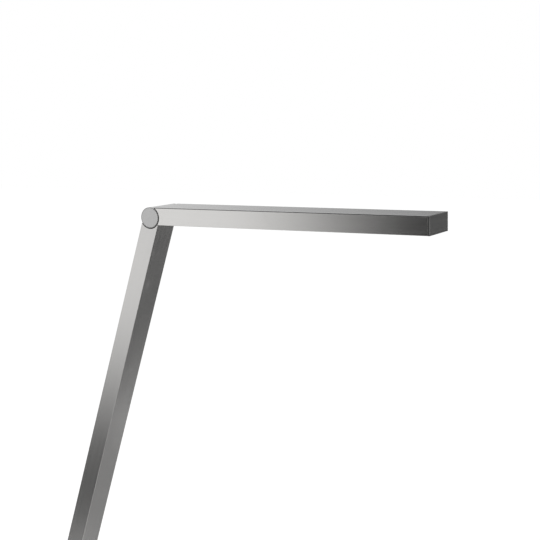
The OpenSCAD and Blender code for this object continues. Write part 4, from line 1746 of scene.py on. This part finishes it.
@dataclass
class Head:
    """Channel, cover, end cap and their screws, in millimetres from the hinge axis."""

    shop: Workshop
    end: float = 500.5
    tip: float = 504.0
    half: float = 37.5
    top: float = 17.6
    wall: float = 2.4
    ease: float = 0.4
    cover_ease: float = 0.3
    end_ease: float = 0.08
    cap_ease: float = 0.12
    seam: Point = (1.4, 1.0)
    lip: float = 0.15
    window: tuple[Point, Point] = ((163.0, -26.9), (447.0, 26.9))
    window_corner: float = 0.6
    button_hole: float = 6.35
    ribs: tuple[Point, Point] = ((-35.0, -33.8), (33.8, 35.0))
    rib_span: Point = (51.0, 489.5)
    rib_height: float = 3.0
    rib_root: float = 0.3
    cap: float = 3.0
    plug: Point = (10.0, 35.0)
    plug_root: float = 0.2
    driver_screws: tuple[Point, ...] = ((98.0, 12.5),)
    cap_screws: tuple[Point, ...] = ((495.5, 23.333),)
    spreader_screws: tuple[Point, ...] = ((196.25, 32.5), (413.75, 32.5))

    def build(self) -> None:
        """Makes every piece of the head's housing."""
        self._channel()
        self._cover()
        self._cap()
        sets = {
            "head_block_screws": BLOCK_SCREWS,
            "driver_screws": self.driver_screws,
            "end_cap_screws": self.cap_screws,
            "spreader_screws": self.spreader_screws,
        }
        for node, spots in sets.items():
            places = [HEAD_FRAME @ place.to_translation() for place in under_head(spots)]
            SMALL_SCREW.drive(self.shop, node, "head", places, UP)

    def _drawn(self, side: list[Point]) -> Mesh:
        """Draws a section along the head.

        Args:
            side: the +Y half of the section, upwards: y from its middle, z from the hinge axis.

        Returns:
            The closed shape, from the hinge axis to the cap's joint.
        """
        outline = side + [(-y, z) for y, z in reversed(side)]
        return placed(prism(outline, eased_stations(0.0, self.end, 0.0, self.end_ease)), ALONG_X)

    def _channel(self) -> None:
        """Makes the channel with its window and holes."""
        inner = self.half - self.wall
        foot = arc((self.half - self.ease, HEAD_UNDERSIDE + self.ease), self.ease, -math.pi / 2)
        lip = [(self.half, COVER_SEAT - self.lip), (self.half - self.lip, COVER_SEAT)]
        base = self._drawn(foot + lip + [(inner, COVER_SEAT), (inner, HEAD_FLOOR)])
        below, above = HEAD_UNDERSIDE - 2 * CUTTER_PAST, HEAD_FLOOR + CUTTER_PAST
        window = prism(rounded_outline(*self.window, self.window_corner), [(below, 0.0), (above, 0.0)])
        spots = BLOCK_SCREWS + self.driver_screws + self.cap_screws + self.spreader_screws
        steps = [
            (Work.CUT, ring_cut(-self.half, self.half)),
            (Work.CUT, window),
            (Work.CUT, placed(bar(self.button_hole, below, above), at(BUTTON_X))),
            (Work.CUT, placed(sink(*SMALL_SINK), *under_head(spots))),
        ]
        made = self.shop.solid("head_channel_brushed", base, steps, HEAD_FRAME, HEAD_METAL)
        self.shop.settle(made, "head", "silver_aluminium", ("head_channel",))

    def _cover(self) -> None:
        """Makes the cover with its two ribs and the shadow gap under its edges."""
        inner, under = self.half - self.seam[0], COVER_SEAT + self.seam[1]
        edge = arc((self.half - self.cover_ease, self.top - self.cover_ease), self.cover_ease)
        base = self._drawn([(inner, COVER_SEAT), (inner, under), (self.half, under)] + edge)
        steps: Steps = [(Work.CUT, ring_cut(-self.half, self.half))]
        start, end = self.rib_span
        for low, high in self.ribs:
            foot, root = COVER_SEAT - self.rib_height, COVER_SEAT + self.rib_root
            steps.append((Work.ADD, box((start, low, foot), (end, high, root))))
        made = self.shop.solid("top_cover_brushed", base, steps, HEAD_FRAME, COVER_METAL)
        self.shop.settle(made, "head", "silver_aluminium", ("top_cover",))

    def _cap(self) -> None:
        """Makes the cap at the tip with its plug."""
        back = self.tip - self.cap
        base = box((back, -self.half, HEAD_UNDERSIDE), (self.tip, self.half, self.top), self.cap_ease)
        length, half = self.plug
        plug = box((self.end - length, -half, HEAD_FLOOR), (back + self.plug_root, half, COVER_SEAT))
        holes = placed(sink(*SMALL_SINK), *under_head(self.cap_screws))
        steps = [(Work.ADD, plug), (Work.CUT, holes)]
        # The cap's finish is darker than the channel's: a painted shade.
        made = self.shop.solid("end_cap_brushed", base, steps, HEAD_FRAME, SHADED_CAP_METAL)
        self.shop.settle(made, "head", "silver_aluminium", ("end_cap",))


@dataclass
class LightUnit:
    """Diffuser with its lens field, and the button beside it, in millimetres."""

    shop: Workshop
    flange_low: Point = (160.0, -29.9)
    flange_high: Point = (450.0, 29.9)
    flange_corner: float = 4.0
    step: float = 3.1
    face: float = -12.0
    face_ease: float = 0.25
    back: float = -8.4
    margin: float = 3.2
    button_face: float = -13.6
    button_dish: tuple[Point, ...] = ((0.0, 0.35), (2.4, 0.3), (4.2, 0.12), (4.9, 0.0))
    button_rim: tuple[Point, ...] = ((5.4, 0.0), (5.8, 0.12), (6.0, 0.45), (6.0, 3.2))
    button_collar: tuple[float, Point] = (7.5, (3.2, 4.4))
    collar_ease: float = 0.2

    def build(self) -> None:
        """Makes the diffuser and the button."""
        self._diffuser()
        self._button()

    def _diffuser(self) -> None:
        """Makes the diffuser, a flange with a boss that fills the window."""
        outline = rounded_outline(self.flange_low, self.flange_high, self.flange_corner)
        boss = eased_stations(self.face, HEAD_FLOOR, self.face_ease, 0.0)
        stations = [(height, self.step + inset) for height, inset in boss]
        shape = prism(outline, stations + [(HEAD_FLOOR, 0.0), (self.back, 0.0)])
        shape.transform(HEAD_FRAME)
        mesh = as_mesh(shape, "diffuser_plate")
        edge = self.step + self.margin
        low = HEAD_FRAME @ Vector((self.flange_low[0] + edge, self.flange_low[1] + edge, self.face))
        high = HEAD_FRAME @ Vector((self.flange_high[0] - edge, self.flange_high[1] - edge, self.face))
        lenses = DimpleField(low, high)
        made = lenses.tree(self.shop.finish(OPAL)).run(self.shop, "diffuser_lensed", mesh, OPAL)
        self.shop.settle(made, "head", "opal_plastic", ("diffuser",))

    def _button(self) -> None:
        """Makes the button with a dished face, an eased rim and a collar behind the floor."""
        radius, (low, high) = self.button_collar
        profile = [*self.button_dish, *self.button_rim]
        profile += quarter(radius, low, self.collar_ease, Corner.OUT_THEN_UP, 2)
        profile += quarter(radius, high, self.collar_ease, Corner.UP_THEN_IN, 2) + [(0.0, high)]
        place = HEAD_FRAME @ at(BUTTON_X, 0, self.button_face)
        made = self.shop.solid("button_cap_turned", turned(profile), [], place, BUTTON_METAL)
        self.shop.settle(made, "button", "dark_aluminium", ("button_cap",))


@dataclass
class Insides:
    """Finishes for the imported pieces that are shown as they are."""

    shop: Workshop
    finishes: dict[str, Finish] = field(
        default_factory=lambda: {
            "foot_block": DARK_METAL,
            "foot_set_screws": STEEL,
            "stem_lead": SHEATH,
            "lead_spacers": FOAM,
            "hinge_bushes": BRONZE,
            "friction_washers": LINING,
            "hinge_axle": STEEL,
            "spring_washers": STEEL,
            "hinge_nut": STEEL,
            "heat_spreader": DARK_METAL,
            "led_board": RESIST_WHITE,
            "led_chips": PHOSPHOR,
            "reflector_frame": WHITE,
            "driver": WHITE,
            "terminal_block": WHITE,
            "head_leads": SHEATH,
            "switch_board": RESIST_GREEN,
            "switch_posts": STEEL,
            "switch_housing": BLACK,
            "switch_plunger": WHITE,
        }
    )

    def build(self) -> None:
        """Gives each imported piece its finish."""
        for node, finish in self.finishes.items():
            made = frame["nodes"][node]
            made.data.materials.clear()
            made.data.materials.append(self.shop.finish(finish))
            LOG.info("%s: finished in %s", node, finish.name)


# ---------------------------------------------------------------- studio


class Axis(Enum):
    """An axis of the model's frame, by its place in a vector."""

    X = 0
    Y = 1
    Z = 2


@dataclass(frozen=True)
class Fade:
    """A soft step along one axis of a card, from its least value at start to 1 at end, in metres."""

    axis: Axis
    start: float
    end: float
    least: float = 0.0


@dataclass(frozen=True)
class Card:
    """A feathered card that shows only in reflections, in metres.

    Its first side runs along +X from the corner, and its second side along the axis of its rise.
    """

    name: str
    corner: Triple
    size: Point
    rise: Axis
    grey: float
    fades: tuple[Fade, ...]
    cover: float = 1.0

    def build(self) -> None:
        """Makes the card."""
        start, along, up = Vector(self.corner), Vector((self.size[0], 0, 0)), Vector((0, 0, 0))
        up[self.rise.value] = self.size[1]
        mesh = bpy.data.meshes.new(self.name)
        corners = [start, start + along, start + along + up, start + up]
        mesh.from_pydata([tuple(c) for c in corners], [], [(0, 1, 2, 3)])
        graph, material = Graph.of_material(self.name)
        axes = graph.axes(graph.place())
        mask: Value = self.cover
        for fade in self.fades:
            step = graph.smooth(axes[fade.axis.value], fade.start, fade.end)
            mask = mask * (fade.least + step * (1 - fade.least))
        clear = graph.wire(graph.node("ShaderNodeBsdfTransparent"))
        colour = (self.grey, self.grey, self.grey)
        glow = graph.wire(graph.node("ShaderNodeEmission", None, {"Color": colour, "Strength": 1.0}))
        mixed = graph.node("ShaderNodeMixShader", None, {0: mask, 1: clear, 2: glow})
        graph.end(graph.wire(mixed))
        mesh.materials.append(material)
        card = linked(self.name, mesh)
        card.visible_camera = False
        card.visible_diffuse = False
        card.visible_shadow = False
        LOG.info("%s: card for reflections", self.name)


CARDS = (
    Card(
        "card_front_right",
        corner=(-0.4, -1.2, -0.5),
        size=(2.1, 3.5),
        rise=Axis.Z,
        grey=0.02,
        fades=(
            Fade(Axis.X, -0.345, 0.33),
            Fade(Axis.X, 1.15, 0.45, 0.4),
            Fade(Axis.Z, 0.15, 0.55),
            Fade(Axis.Z, 1.95, 1.55),
        ),
    ),
    Card(
        "card_front_low",
        corner=(-4.0, -1.21, -0.4),
        size=(5.0, 1.3),
        rise=Axis.Z,
        grey=0.03,
        fades=(Fade(Axis.Z, 0.85, 0.28), Fade(Axis.Z, -0.35, 0.16), Fade(Axis.X, 0.9, 0.1)),
        cover=0.97,
    ),
    Card(
        "card_back_high",
        corner=(-1.6, 1.2, 0.9),
        size=(3.1, 1.3),
        rise=Axis.Z,
        grey=0.14,
        fades=(
            Fade(Axis.X, -1.5, 1.1),
            Fade(Axis.X, 1.45, 1.0),
            Fade(Axis.Z, 0.95, 1.2),
            Fade(Axis.Z, 2.15, 1.75),
        ),
    ),
    Card(
        "card_back_low",
        corner=(0.3, 1.19, -0.2),
        size=(1.2, 1.05),
        rise=Axis.Z,
        grey=0.075,
        fades=(Fade(Axis.X, 0.38, 0.72), Fade(Axis.X, 1.4, 1.1), Fade(Axis.Z, 0.95, 0.68)),
    ),
    Card(
        "card_back_tip",
        corner=(0.85, 1.18, 0.55),
        size=(1.05, 1.05),
        rise=Axis.Z,
        grey=0.115,
        fades=(
            Fade(Axis.X, 0.9, 1.12),
            Fade(Axis.X, 1.85, 1.55),
            Fade(Axis.Z, 0.6, 0.85),
            Fade(Axis.Z, 1.55, 1.3),
        ),
    ),
    Card(
        "card_ground_right",
        corner=(-0.1, 0.3, 0.003),
        size=(3.0, 0.88),
        rise=Axis.Y,
        grey=0.31,
        fades=(Fade(Axis.X, 0.0, 0.28), Fade(Axis.Y, 0.35, 0.66)),
    ),
    Card(
        "card_ground_left",
        corner=(-2.2, -1.2, 0.004),
        size=(2.4, 1.05),
        rise=Axis.Y,
        grey=0.1,
        fades=(Fade(Axis.X, 0.2, -0.3), Fade(Axis.Y, -0.15, -0.6)),
        cover=0.6,
    ),
)


@dataclass
class Studio:
    """White floor and surroundings, one soft lamp, and the cards, in metres and watts."""

    floor_half: float = 14.0
    floor_level: float = -0.0004
    floor_white: float = 0.82
    floor_lift: float = 0.52
    sky: float = 0.62
    key_power: float = 24.0
    key_size: float = 2.2
    key_from: Triple = (-1.9, -2.4, 3.0)
    key_to: Triple = (0.2, 0.0, 0.7)

    def build(self) -> None:
        """Makes the studio."""
        self._floor()
        self._sky()
        self._key()
        for card in CARDS:
            card.build()

    def _floor(self) -> None:
        """Makes the floor, white from above with the lamp's shadow kept, and clear from below."""
        half, low = self.floor_half, self.floor_level
        mesh = bpy.data.meshes.new("floor")
        corners = [(-half, -half, low), (half, -half, low), (half, half, low), (-half, half, low)]
        mesh.from_pydata(corners, [], [(0, 1, 2, 3)])
        graph, material = Graph.of_material("floor_white")
        white = (self.floor_white,) * 3
        cloth = graph.wire(graph.node("ShaderNodeBsdfDiffuse", None, {"Color": white}))
        strength = graph.seen() * self.floor_lift
        glow = graph.node("ShaderNodeEmission", None, {"Color": PLAIN, "Strength": strength})
        top = graph.wire(graph.node("ShaderNodeAddShader", None, {0: cloth, 1: graph.wire(glow)}))
        clear = graph.wire(graph.node("ShaderNodeBsdfTransparent"))
        below = graph.wire(graph.node("ShaderNodeNewGeometry"), "Backfacing")
        graph.end(graph.wire(graph.node("ShaderNodeMixShader", None, {0: below, 1: top, 2: clear})))
        mesh.materials.append(material)
        floor = linked("floor", mesh)

    def _sky(self) -> None:
        """Makes the even light from all round, and a white background."""
        world = bpy.data.worlds.new("studio")
        world.use_nodes = True
        bpy.context.scene.world = world
        graph = Graph(world.node_tree)
        strength = self.sky + graph.seen() * (1.0 - self.sky)
        sky = graph.node("ShaderNodeBackground", None, {"Color": PLAIN, "Strength": strength})
        graph.node("ShaderNodeOutputWorld", None, {"Surface": graph.wire(sky)})

    def _key(self) -> None:
        """Makes one large soft lamp at the front left."""
        light = bpy.data.lights.new("key", "AREA")
        light.shape = "SQUARE"
        light.size = self.key_size
        light.energy = self.key_power
        key = linked("key", light)
        key.location = self.key_from
        aim = Vector(self.key_to) - Vector(self.key_from)
        key.rotation_euler = aim.to_track_quat("-Z", "Y").to_euler()
        key.visible_camera = False
        key.visible_glossy = False


@dataclass
class PhotoCamera:
    """The photograph's viewpoint, measured from the hinge axis at the near face.

    The offset and the clipping distances are in metres, the turns in degrees, the lens in millimetres.
    """

    offset: Triple = (1.1199, -1.5533, 0.1852)
    yaw: float = 29.753
    pitch: float = 8.337
    roll: float = -1.270
    lens: float = 75.4
    sensor: float = 36.0
    clip: Point = (0.05, 100.0)

    def build(self) -> None:
        """Makes the camera and puts it in the scene."""
        data = bpy.data.cameras.new("photo_camera")
        data.lens = self.lens
        data.sensor_width = self.sensor
        data.clip_start, data.clip_end = self.clip
        camera = linked("photo_camera", data)
        yaw, pitch, roll = (math.radians(a) for a in (self.yaw, self.pitch, self.roll))
        ahead = Vector((-math.sin(yaw) * math.cos(pitch), math.cos(yaw) * math.cos(pitch), -math.sin(pitch)))
        level = Vector((math.cos(yaw), math.sin(yaw), 0.0))
        upright = level.cross(ahead)
        right = level * math.cos(roll) + upright * math.sin(roll)
        top = upright * math.cos(roll) - level * math.sin(roll)
        turn = Matrix((right, top, -ahead)).transposed()
        camera.location = Vector((PIVOT.x, NEAR_Y, PIVOT.z)) + Vector(self.offset)
        camera.rotation_euler = turn.to_euler()
        bpy.context.scene.camera = camera


def main() -> None:
    """Builds the dressed lamp, the studio and the camera."""
    logging.basicConfig(level=logging.INFO, format="%(message)s")
    bpy.context.scene.view_settings.view_transform = "Standard"
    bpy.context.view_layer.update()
    shop = Workshop()
    assemblies = (Base(shop), Stem(shop), Hinge(shop), Head(shop), LightUnit(shop), Insides(shop))
    for assembly in assemblies:
        assembly.build()
    Studio().build()
    PhotoCamera().build()


if __name__ == "__main__":
    main()
